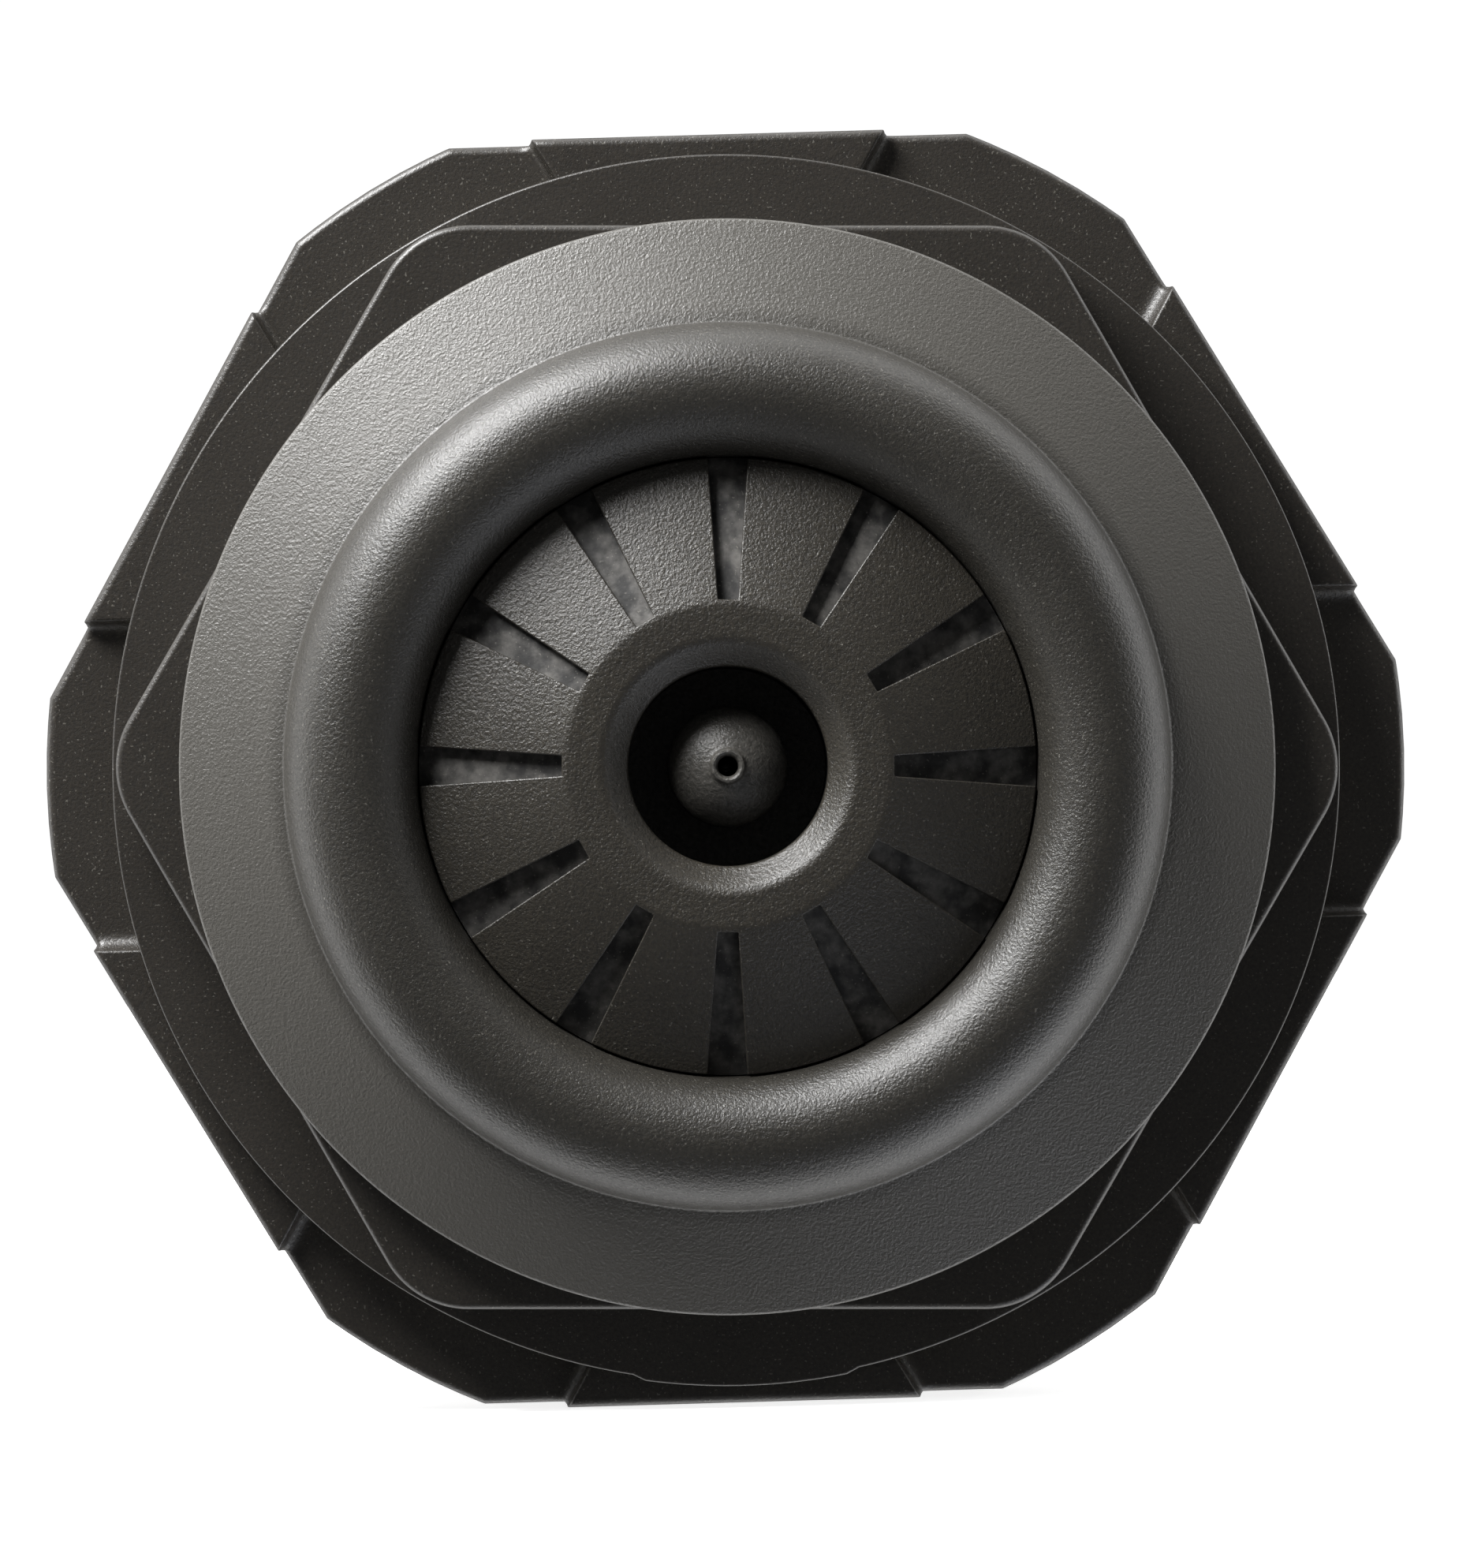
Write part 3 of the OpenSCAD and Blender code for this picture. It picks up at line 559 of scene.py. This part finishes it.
# The shell's ABS with a slightly flatter grain, where hands turn the lid: the same warm
# black-grey, a little smoother to the eye
lid_abs = moulded("black-grey ABS, moulded, spark-eroded grain on the lid", "#2a2723",
                  "#24211d", relief=0.04)
lid_thread = grown(thread_tree(), bpy.data.meshes.new("lid_thread"),
                   Radius=(SKIRT_RADIUS + THREAD_SINK) * MM, Height=THREAD_HEIGHT * MM,
                   Root_width=THREAD_WIDTH * MM, Lead=THREAD_LEAD * MM, Turns=THREAD_TURNS,
                   First_depth=(FRONT + THREAD_START) * MM, Starts=THREAD_STARTS,
                   First_angle=math.radians(-LID_CLOCK), Material=lid_abs)
piece("lid_moulding", as_mesh("lid_moulding", skin(lid_rows, around=True, along=True)), lid_abs,
      "lid", ["lid_body"])
piece("lid_thread", lid_thread, lid_abs, "lid", [])

# --------------------------------------------------------------------
# Flared collar. A wide cone with a rolled bead round its middle, which leads the drive head
# in. Moulded ABS with a finer grain than the lid, and polished a little by handling.
# --------------------------------------------------------------------
BEAD_MIDDLE, BEAD_RADIUS = 31.4, 5.6
RIM_RADIUS, RIM_FRONT, RIM_THICK = 45.8, 8.2, 1.7
FOOT, FOOT_FILLET = (36.6, 4.7), 0.4
COLLAR_BORE, COLLAR_BORE_FRONT = 25.8, 12
PAINTED_LIFT_FROM, PAINTED_LIFT_TO = 36.4, 38.5


def turned(name, profile, count):
    """The mesh of a closed section turned about the axis, with a number of points round it."""
    degrees = [i * 360 / count for i in range(count)]
    return as_mesh(name, skin([[polar(radius, a, depth) for a in degrees]
                               for radius, depth in profile], around=True, along=True))


# The cone runs up to the bead, and a small fillet touches both of them
slope = Vector((RIM_RADIUS - FOOT[0], RIM_FRONT - FOOT[1])).normalized()
ahead = Vector((slope.y, -slope.x))
bead = Vector((BEAD_MIDDLE, BEAD_RADIUS))
lifted = Vector(FOOT) + ahead * FOOT_FILLET - bead
along = lifted.dot(slope)
gap = along ** 2 - lifted.length_squared + (BEAD_RADIUS + FOOT_FILLET) ** 2
fillet = bead + lifted + slope * (-along + math.sqrt(gap))
meet = (fillet - bead).normalized()
bead_sweep = math.atan2(meet.y, meet.x) + math.pi
collar_profile = [(COLLAR_BORE, FLANGE_FRONT), (COLLAR_BORE, COLLAR_BORE_FRONT)]
collar_profile += [tuple(bead + BEAD_RADIUS * Vector((math.cos(a), math.sin(a))))
                   for a in (-math.pi + bead_sweep * i / 40 for i in range(41))]
sweep = (-meet).angle_signed(-ahead)
for i in range(1, 9):
    spoke = -meet
    spoke.rotate(Matrix.Rotation(-sweep * i / 8, 2))
    collar_profile.append(tuple(fillet + spoke * FOOT_FILLET))
collar_profile += [tuple(Vector(FOOT) + slope * t) for t in (3, 5, 7, 9)]
collar_profile += eased_profile([FOOT + (0,), (RIM_RADIUS, RIM_FRONT, 0.35),
                                 (RIM_RADIUS, RIM_FRONT + RIM_THICK, 0.5), (40.5, 8.7, 0)])[1:]
# The hidden back: the outer foot, the hollow behind the bead, and the inner foot
collar_profile += [(40.5, FLANGE_FRONT), (37.5, FLANGE_FRONT), (37.5, 8.6), (33.4, 6.6),
                   (32.9, 4.2), (29.9, 4.2), (28.8, 6.6), (27.8, 6.6), (27.8, FLANGE_FRONT)]
# ABS with a finer, deeper grain and more polish: long sandy highlights round the bead, and a
# greyer cone outside it, painted paler to stand in for the low side light that the cone catches
collar_abs = moulded("black-grey ABS, moulded, fine satin grain", "#2d2b27", "#282622",
                     roughness=0.34, grain=0.26, relief=0.09)
tree = collar_abs.node_tree
shader = tree.nodes["Principled BSDF"]
# A painted lift: the cone outside the bead is mixed to a paler grey from 36.4 to 38.5 mm out from
# the axis, in place of the low side light it catches
centred = add_node(tree, "ShaderNodeMapping",
                   {"Vector": add_node(tree, "ShaderNodeTexCoord").outputs["Object"],
                    "Location": (0, 0, -AXIS_HEIGHT * MM), "Scale": (1, 0, 1)})
from_axis = add_node(tree, "ShaderNodeVectorMath", {0: centred.outputs[0]}, operation="LENGTH")
worn = add_node(tree, "ShaderNodeMapRange",
                {"Value": from_axis.outputs["Value"], "From Min": PAINTED_LIFT_FROM * MM,
                 "From Max": PAINTED_LIFT_TO * MM})
tone = add_node(tree, "ShaderNodeMix",
                {"Factor": worn.outputs[0], "B": linear("#4a4844"),
                 "A": shader.inputs["Base Color"].links[0].from_socket}, data_type="RGBA")
feed(tree, shader, {"Base Color": tone.outputs["Result"]})
piece("flared_collar_moulding", turned("flared_collar_moulding", collar_profile, 288),
      collar_abs, "lid", ["flared_collar"])

# --------------------------------------------------------------------
# Slotted face. A shallow cone with a flat land round the drive bore and twelve wedge slots
# for the drive head's teeth. One ABS moulding, screwed to the lid through the core.
# --------------------------------------------------------------------
BORE_RADIUS, LAND_RADIUS, LAND_DEPTH, FACE_RADIUS = 8.3, 13.5, 0.2, 25.7
FACE_SLOPE, FACE_THICK, FACE_BACK = math.radians(19), 1.1, 3.5
SLOT_START, SLOT_LENGTH, SLOT_INNER_HALF, SLOT_OUTER_HALF = 13.8, 12.9, 0.85, 1.725


def face_depth(radius):
    """Depth of the face at a radius: flat on the land, then falling along the cone."""
    return LAND_DEPTH + max(0, radius - LAND_RADIUS) * math.tan(FACE_SLOPE)


def slot_half(x):
    """Half the width of a slot, at a distance from the axis along it."""
    return SLOT_INNER_HALF + (SLOT_OUTER_HALF - SLOT_INNER_HALF) * (x - SLOT_START) / SLOT_LENGTH


land = eased_profile([(BORE_RADIUS, FACE_BACK, 0), (BORE_RADIUS, LAND_DEPTH + 2, 0.7),
                      (BORE_RADIUS + 2, LAND_DEPTH, 1.6), (LAND_RADIUS, LAND_DEPTH, 0)], 5)
land = land[:-1] + [(12.6, LAND_DEPTH), (13.3, LAND_DEPTH), (LAND_RADIUS, LAND_DEPTH + 0.02)]
edge_radius = math.hypot(SLOT_START, SLOT_INNER_HALF)
edge_angle = math.degrees(math.atan2(SLOT_INNER_HALF, SLOT_START))
petal_shares = [i / 14 for i in range(15)]
slot_columns = [-edge_angle, -edge_angle / 2, 0, edge_angle / 2]
petal_columns = [edge_angle + (30 - 2 * edge_angle) * t for t in petal_shares]
columns = slot_columns + petal_columns


def wall_radius(degrees):
    """The land's outer wall: straight across the end of a slot, round between the slots."""
    if abs(degrees) < edge_angle:
        return SLOT_START / math.cos(math.radians(degrees))
    return edge_radius


def clocked(radius, degrees, depth):
    """A point on a circle about the axis, turned with the tight lid."""
    return polar(radius, degrees + LID_CLOCK, depth)


land_rows = [[clocked(r, a, d) for a in columns] for r, d in land]
land_rows.append([clocked(wall_radius(a), a, face_depth(wall_radius(a))) for a in columns])
land_back = [[clocked(wall_radius(a), a, face_depth(wall_radius(a)) + FACE_THICK)
              for a in columns]]
land_back += [[clocked(r, a, d) for a in columns]
              for r, d in ((12.5, 2), (10.3, 2), (9.3, FACE_BACK), (BORE_RADIUS, FACE_BACK))]
slot_end = [land_rows[-1][:5], land_back[0][:5]]
petal_top, petal_under = [], []
for x in (SLOT_START + (FACE_RADIUS - SLOT_START) * i / 12 for i in range(13)):
    half = slot_half(x)
    radius = min(math.hypot(x, half), FACE_RADIUS)
    start = math.degrees(math.atan2(half, math.sqrt(max(0, radius ** 2 - half ** 2))))
    angles = [start + (30 - 2 * start) * t for t in petal_shares]
    petal_top.append([clocked(radius, a, face_depth(radius)) for a in angles])
    petal_under.append([clocked(radius, a, face_depth(radius) + FACE_THICK) for a in angles])
petal_sides = [[[row[k] for row in petal_top], [row[k] for row in petal_under]] for k in (0, -1)]
petal_rim = [petal_top[-1], petal_under[-1]]
sheets = [skin(rows) for rows in (land_rows, land_back, slot_end, petal_top, petal_under,
                                  *petal_sides, petal_rim)]
# ABS with the deepest grain of the set, like fine sandpaper, so that the cone glitters on the
# side towards the light and is dead matt on the other
face_abs = moulded("black-grey ABS, moulded, coarse spark-eroded grain", "#2d2a24", "#27241f",
                   grain=0.27, relief=0.1)
face_mesh = grown(repeat, as_mesh("slotted_face_moulding", *sheets), Count=12, First_angle=0.0,
                  Material=face_abs)
piece("slotted_face_moulding", face_mesh, face_abs, "lid", ["slotted_face"],
      crisp=25, ease=0.1)

# --------------------------------------------------------------------
# Vent nipple. A domed peg on the axis with a fine countersunk hole through its tip, which
# lets gas out of the barrel. Turned-looking ABS moulding with a small raised lip.
# --------------------------------------------------------------------
TIP_DEPTH, DOME_RADIUS, NIPPLE_RADIUS, VENT_RADIUS, LIP_END = 3.0, 5.6, 5.0, 0.85, 1.6
NIPPLE_FOOT_RADIUS, NIPPLE_FOOT_FRONT = 9.3, 17
SPIGOT_RADIUS, SPIGOT_BACK, SPRING_ROOM_RADIUS, SPRING_ROOM_FRONT = 6.15, 22.4, 2.9, 12
# The vent with its countersunk mouth and rolled lip, then the dome, then the shank and foot
nipple_profile = [(VENT_RADIUS, SPRING_ROOM_FRONT), (VENT_RADIUS, 3.4), (0.9, 3.1), (1.02, 2.88),
                  (1.18, 2.8), (1.34, 2.84), (1.46, 2.98), (1.5, 3.12)]
dome_start = math.asin(LIP_END / DOME_RADIUS)
dome_end = math.asin((NIPPLE_RADIUS - 0.15) / DOME_RADIUS)
nipple_profile += [(DOME_RADIUS * math.sin(a), TIP_DEPTH + DOME_RADIUS * (1 - math.cos(a)))
                   for a in (dome_start + (dome_end - dome_start) * i / 14 for i in range(15))]
nipple_profile += [(NIPPLE_RADIUS - 0.04, 6.15), (NIPPLE_RADIUS, 6.4),
                   (NIPPLE_RADIUS, NIPPLE_FOOT_FRONT), (NIPPLE_FOOT_RADIUS, NIPPLE_FOOT_FRONT),
                   (NIPPLE_FOOT_RADIUS, FLANGE_FRONT), (SPIGOT_RADIUS, FLANGE_FRONT),
                   (SPIGOT_RADIUS, SPIGOT_BACK - 0.1), (SPIGOT_RADIUS - 0.1, SPIGOT_BACK),
                   (SPRING_ROOM_RADIUS, SPIGOT_BACK), (SPRING_ROOM_RADIUS, SPRING_ROOM_FRONT)]
# The same ABS, worn by the drive head's spigot: paler, with coarse dull scuffs in its grain
nipple_abs = moulded("grey ABS, moulded, worn to a satin on the nipple", "#4a4844", "#403e3a",
                     roughness=0.4, grain=0.36, relief=0.12)
piece("vent_nipple_moulding", turned("vent_nipple_moulding", nipple_profile, 96), nipple_abs,
      "lid", ["vent_nipple"])

# --------------------------------------------------------------------
# Drive core and bore bush. The core is the hollow moulding behind the slotted face, and its
# smooth, clouded cone shows in the slots. The bush is a black sleeve in the drive bore.
# --------------------------------------------------------------------
def finish_node(name, material):
    """Gives a CAD node its material."""
    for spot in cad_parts[name].material_slots:
        spot.material = material


# Unpolished ABS that no hand reaches: smooth and dull, with pale clouds of dry rock dust that
# make the floor of each slot mottled
core_abs = moulded("grey ABS, moulded, smooth and clouded with dust", "#4d4b48", "#151413",
                   roughness=0.66, grain=0.9, relief=0.05, clouds=2.2, mottle=0.4)
finish_node("drive_core", core_abs)
# Black acetal, turned, painted a near-black with a weak reflection: painted shade that keeps the
# drive bore a black hole
acetal = moulded("black acetal, turned, matt", "#030303", "#020202", roughness=0.5, grain=0.5,
                 relief=0.02, specks=0)
acetal.node_tree.nodes["Principled BSDF"].inputs["Specular IOR Level"].default_value = 0.25
finish_node("bore_bush", acetal)

# --------------------------------------------------------------------
# Rear cover. The six-sided back plate, with radial ribs and the bearing's boss, moulded in
# the shell's ABS and held on by six screws in the corners' low channels.
# --------------------------------------------------------------------
def ease_node(name, width):
    """Rounds the edges of a CAD node that keeps its shape, with its triangles joined first."""
    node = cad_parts[name]
    join = node.modifiers.new("joined", "WELD")
    join.merge_threshold = 0.002 * MM
    soften(node, width, 35)


# The shell's ABS and grain again: warm black-grey, matt, with fine sparks along the ribs
cover_abs = moulded("black-grey ABS, moulded, spark-eroded grain on the cover", "#2a2723",
                    "#24211d")
finish_node("rear_cover", cover_abs)
ease_node("rear_cover", 0.3)

# --------------------------------------------------------------------
# Liner, mouth ring and lid seal. The liner is a thick moulded rubber cup, the mouth ring is
# smooth glass-filled nylon with the lid's thread, and the seal is soft nitrile rubber that
# bears on a slippery natural acetal ring.
# --------------------------------------------------------------------
def rubber(name, colour, bloom, roughness):
    """Moulded rubber: matt, with a cloudy pale bloom and faint flow marks."""
    material, tree, shader = new_material(name, {"IOR": 1.52})
    spot = add_node(tree, "ShaderNodeTexCoord").outputs["Object"]
    cloud = add_node(tree, "ShaderNodeTexNoise",
                     {"Vector": spot, "Scale": 1 / (9 * MM), "Detail": 4}).outputs["Fac"]
    marks = add_node(tree, "ShaderNodeTexNoise",
                     {"Vector": spot, "Scale": 1 / (0.6 * MM), "Detail": 2})
    tone = add_node(tree, "ShaderNodeMix",
                    {"Factor": cloud, "A": linear(colour), "B": linear(bloom)}, data_type="RGBA")
    dull = add_node(tree, "ShaderNodeMapRange",
                    {"Value": cloud, "To Min": roughness - 0.08, "To Max": roughness + 0.08})
    bump = add_node(tree, "ShaderNodeBump",
                    {"Height": marks.outputs["Fac"], "Distance": 0.03 * MM})
    feed(tree, shader, {"Base Color": tone.outputs["Result"], "Roughness": dull.outputs[0],
                        "Normal": bump.outputs[0]})
    return material


# Press-moulded natural rubber: black and matt, with a cloudy grey bloom of wax
finish_node("barrel_liner", rubber("natural rubber, black, press moulded", "#131313", "#232221",
                                   0.72))
# Nitrile rubber under a film of grease: deeper black than the liner, with a low sheen
nitrile = rubber("nitrile rubber, black, moulded and greased", "#0e0e0e", "#1a1a1a", 0.5)
for name in ("lid_seal", "nipple_o_ring", "seat_o_ring"):
    finish_node(name, nitrile)
# Glass-filled nylon from a polished mould: smooth and dark, with a broad oily gleam
finish_node("mouth_thread_ring", moulded("nylon, black, glass filled, moulded smooth", "#24221f",
                                         "#1d1b19", roughness=0.34, grain=0.9, relief=0.02))
# Natural acetal, turned: milky white with a waxy gleam, the one pale ring in the barrel
slip_acetal = moulded("acetal, natural white, turned", "#dcd8cb", "#cfcabb", roughness=0.38,
                      grain=0.7, relief=0.01, specks=0)
finish_node("slip_ring", slip_acetal)

# --------------------------------------------------------------------
# Steel and brass: the ball bearing, the stub axle, the clips, the screws, the valve's seat
# and its spring. Turned or ground, so each shows fine rings round its own axis.
# --------------------------------------------------------------------
def turned_metal(name, colour, tint, roughness, pitch, relief=0.004):
    """Metal finished in a lathe or a grinder: rings about the barrel's axis, with small changes
    of tint and gloss. Real rings are finer: they are drawn as far apart as they need to show."""
    material, tree, shader = new_material(name, {"Metallic": 1})
    spot = add_node(tree, "ShaderNodeTexCoord").outputs["Object"]
    centred = add_node(tree, "ShaderNodeMapping",
                       {"Vector": spot, "Location": (0, 0, -AXIS_HEIGHT * MM)})
    # A wave texture has 20 / tau rings in each unit of its scaled space
    rings = add_node(tree, "ShaderNodeTexWave",
                     {"Vector": centred.outputs[0], "Scale": math.tau / (20 * pitch * MM),
                      "Distortion": 0.6, "Detail": 2, "Detail Scale": 3},
                     wave_type="RINGS", rings_direction="Y")
    cloud = add_node(tree, "ShaderNodeTexNoise",
                     {"Vector": spot, "Scale": 1 / (3 * MM), "Detail": 4}).outputs["Fac"]
    tone = add_node(tree, "ShaderNodeMix",
                    {"Factor": cloud, "A": linear(colour), "B": linear(tint)}, data_type="RGBA")
    gloss = add_node(tree, "ShaderNodeMapRange",
                     {"Value": cloud, "From Min": 0.3, "From Max": 0.7,
                      "To Min": roughness - 0.05, "To Max": roughness + 0.07})
    bump = add_node(tree, "ShaderNodeBump",
                    {"Height": rings.outputs["Fac"], "Distance": relief * MM})
    feed(tree, shader, {"Base Color": tone.outputs["Result"], "Roughness": gloss.outputs[0],
                        "Normal": bump.outputs[0]})
    return material


# Bearing steel, hardened and ground: the brightest metal here, with clean sharp reflections
ground_steel = turned_metal("bearing steel, hardened, ground", "#a9a9ab", "#8f8f92", 0.22,
                            pitch=1.5708)
# Carbon steel, turned and oiled: a greyer, softer shine, with lathe rings
axle_steel = turned_metal("carbon steel, bright turned and oiled", "#8f8d8a", "#767472", 0.3,
                          pitch=1.885)
# Zinc plate on cold-headed steel: satin, with a faint warm cast
plated_steel = turned_metal("steel, zinc plated, cold headed", "#a3a199", "#88857a", 0.36,
                            pitch=3.77, relief=0.002)
# Phosphated spring steel: charcoal grey, almost matt
spring_steel = turned_metal("spring steel, phosphated black", "#4b4a49", "#363534", 0.48,
                            pitch=3.1416, relief=0.002)
# Turned brass: warm yellow, with soft reflections
brass = turned_metal("brass, turned", "#c09a58", "#a67f42", 0.3, pitch=1.5708)
finishes = {
    ground_steel: ("bearing_outer_ring", "bearing_inner_ring", "bearing_balls", "valve_ball",
                   "bearing_shields"),
    axle_steel: ("stub_axle",),
    plated_steel: ("rear_cover_screws", "collar_screws", "core_screws", "retainer_screws"),
    spring_steel: ("bearing_circlip", "axle_clip", "valve_spring"),
    brass: ("bearing_cage", "valve_seat"),
}
for material, names in finishes.items():
    for name in names:
        finish_node(name, material)
for name in ("stub_axle", "bearing_outer_ring"):
    ease_node(name, 0.15)

# --------------------------------------------------------------------
# Relief valve spring. Seven coils of 0.6 mm phosphated spring wire between the nipple's blind
# end and the ball. It is wound cold, and in the barrel it shortens as the ball lifts off its
# seat;
# here it is drawn at one length.
# --------------------------------------------------------------------
COILS, WIRE_RADIUS = 7.0, 0.3
spring_front, spring_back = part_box("valve_spring")
spring_length = spring_back[1] - spring_front[1]
coil_radius = (spring_back[0] - spring_front[0]) / 2 - WIRE_RADIUS * MM


def spring_tree():
    """Geometry Nodes tree of a coil spring: a round wire along a helix about the axis."""
    tree, given = new_tree("coil spring", ("Coil radius", "Wire radius", "Length", "Coils",
                                           "First depth", "Axis height"))
    helix = add_node(tree, "GeometryNodeCurveSpiral",
                     {"Resolution": 28, "Rotations": given["Coils"],
                      "Start Radius": given["Coil radius"], "End Radius": given["Coil radius"],
                      "Height": given["Length"]})
    section = add_node(tree, "GeometryNodeCurvePrimitiveCircle",
                       {"Resolution": 10, "Radius": given["Wire radius"]})
    wire = add_node(tree, "GeometryNodeCurveToMesh",
                    {"Curve": helix.outputs[0], "Profile Curve": section.outputs[0],
                     "Fill Caps": True})
    place = add_node(tree, "ShaderNodeCombineXYZ",
                     {"Y": given["First depth"], "Z": given["Axis height"]})
    lay = add_node(tree, "GeometryNodeTransform",
                   {"Geometry": wire.outputs[0], "Translation": place.outputs[0],
                    "Rotation": (-math.pi / 2, 0, 0)})
    return end_tree(tree, lay, given["Material"])


coil = grown(spring_tree(), bpy.data.meshes.new("valve_spring_coil"), Coil_radius=coil_radius,
             Wire_radius=WIRE_RADIUS * MM, Length=spring_length - 2 * WIRE_RADIUS * MM,
             Coils=COILS, First_depth=spring_front[1] + WIRE_RADIUS * MM,
             Material=spring_steel)
spring = piece("valve_spring_coil", coil, spring_steel, "lid", ["valve_spring"],
               crisp=80)
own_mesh(spring)

# --------------------------------------------------------------------
# Filter. A disc of felted wool that keeps grit out of the valve, under a perforated retainer
# moulded in grey nylon.
# --------------------------------------------------------------------
# Wool felt, needled: fuzzy and cream, with a tangle of fibres and no shine
felt, tree, shader = new_material("wool felt, needled", {"Roughness": 0.95, "Sheen Weight": 0.3})
spot = add_node(tree, "ShaderNodeTexCoord").outputs["Object"]
fibres = add_node(tree, "ShaderNodeTexNoise",
                  {"Vector": spot, "Scale": 1 / (0.5 * MM), "Detail": 4,
                   "Distortion": 2.5}).outputs["Fac"]
tone = add_node(tree, "ShaderNodeMix",
                {"Factor": fibres, "A": linear("#b1ab9c"), "B": linear("#dad5c8")},
                data_type="RGBA")
bump = add_node(tree, "ShaderNodeBump", {"Height": fibres, "Distance": 0.15 * MM})
feed(tree, shader, {"Base Color": tone.outputs["Result"], "Normal": bump.outputs[0]})
finish_node("filter_disc", felt)
# Grey nylon from a polished mould: even, mid-grey and slightly waxy
finish_node("filter_retainer", moulded("nylon, grey, moulded smooth", "#8f8d88", "#7f7d78",
                                       roughness=0.42, grain=0.6, relief=0.02, specks=0))

# --------------------------------------------------------------------
# Floor, light and camera. A pale paper sweep under a plain studio sky, one soft box high to
# the left of the lid and a weak cool one low to the right. The camera looks along the axis.
# --------------------------------------------------------------------
FLOOR_HALF = 4  # metres, as the soft boxes are
EYE, AIM, ROLL = (-9, -9, -1100), (0.52, -1.52, 0), -1.65

scene = bpy.context.scene
scene.view_settings.view_transform = "Standard"
floor_sheet = skin([[(x, y, 0) for x in (-FLOOR_HALF, FLOOR_HALF)]
                    for y in (-FLOOR_HALF, FLOOR_HALF)])
floor = bpy.data.objects.new("floor", as_mesh("floor", floor_sheet))
scene.collection.objects.link(floor)
# Matt white paper, evenly lit from below, so that it stays clean and pale behind the barrel
pale, tree, paper = new_material("pale paper sweep", {
    "Base Color": linear("#d8d8d8"), "Roughness": 0.9, "Emission Color": (1, 1, 1, 1),
    "Emission Strength": 0.8})
clear = add_node(tree, "ShaderNodeBsdfTransparent")
seen = add_node(tree, "ShaderNodeLightPath")
either = add_node(tree, "ShaderNodeMixShader",
                  {0: seen.outputs["Is Camera Ray"], 1: clear.outputs[0], 2: paper.outputs[0]})
feed(tree, tree.nodes["Material Output"], {"Surface": either.outputs[0]})
floor.data.materials.append(pale)

# The sky is dark round the camera, brightest beside the barrel and dimmer behind it. The
# camera itself sees plain white.
world = bpy.data.worlds.new("studio")
scene.world = world
world.use_nodes = True
tree = world.node_tree
way = add_node(tree, "ShaderNodeSeparateXYZ",
               {0: add_node(tree, "ShaderNodeTexCoord").outputs["Generated"]})
rise = add_node(tree, "ShaderNodeMapRange",
                {"Value": way.outputs["Y"], "From Min": -0.4, "From Max": 0.15,
                 "To Min": 0.1, "To Max": 2.8}, interpolation_type="SMOOTHSTEP")
fall = add_node(tree, "ShaderNodeMapRange",
                {"Value": way.outputs["Y"], "From Min": 0.35, "From Max": 0.75,
                 "To Min": 1.0, "To Max": 0.2}, interpolation_type="SMOOTHSTEP")
glow = add_node(tree, "ShaderNodeMath", {0: rise.outputs[0], 1: fall.outputs[0]},
                operation="MULTIPLY")
seen = add_node(tree, "ShaderNodeLightPath")
power = add_node(tree, "ShaderNodeMix",
                 {"Factor": seen.outputs["Is Camera Ray"], "A": glow.outputs[0], "B": 1.05},
                 data_type="FLOAT")
feed(tree, tree.nodes["Background"], {"Color": (1, 1, 1, 1), "Strength": power.outputs["Result"]})


def soft_box(name, clock, tilt, distance, size, watts, colour="#ffffff"):
    """A soft box round the front of the lid, at a clock angle and a tilt off its axis."""
    turn, lean = math.radians(clock), math.radians(tilt)
    out = Vector((math.sin(lean) * math.cos(turn), -math.cos(lean),
                  math.sin(lean) * math.sin(turn)))
    light = bpy.data.lights.new(name, "AREA")
    light.shape = "RECTANGLE"
    light.size, light.size_y = size
    light.energy = watts
    light.color = linear(colour)[:3]
    box = bpy.data.objects.new(name, light)
    scene.collection.objects.link(box)
    box.location = at(0, 0, 0) + out * distance
    box.rotation_euler = (-out).to_track_quat("-Z", "Y").to_euler()


soft_box("key soft box", 124, 71, 0.42, (0.2, 0.2), 5.2)
soft_box("cool fill", -55, 75, 0.6, (0.6, 0.3), 0.9, "#edf1fb")

camera_data = bpy.data.cameras.new("camera")
camera_data.lens, camera_data.sensor_width = 304.8, 36
camera_data.clip_start, camera_data.clip_end = 0.05, 30
camera = bpy.data.objects.new("camera", camera_data)
scene.collection.objects.link(camera)
camera.location = at(*EYE)
aim = (at(*AIM) - camera.location).to_track_quat("-Z", "Y")
camera.rotation_mode = "QUATERNION"
camera.rotation_quaternion = aim @ Quaternion((0, 0, 1), math.radians(ROLL))
scene.camera = camera
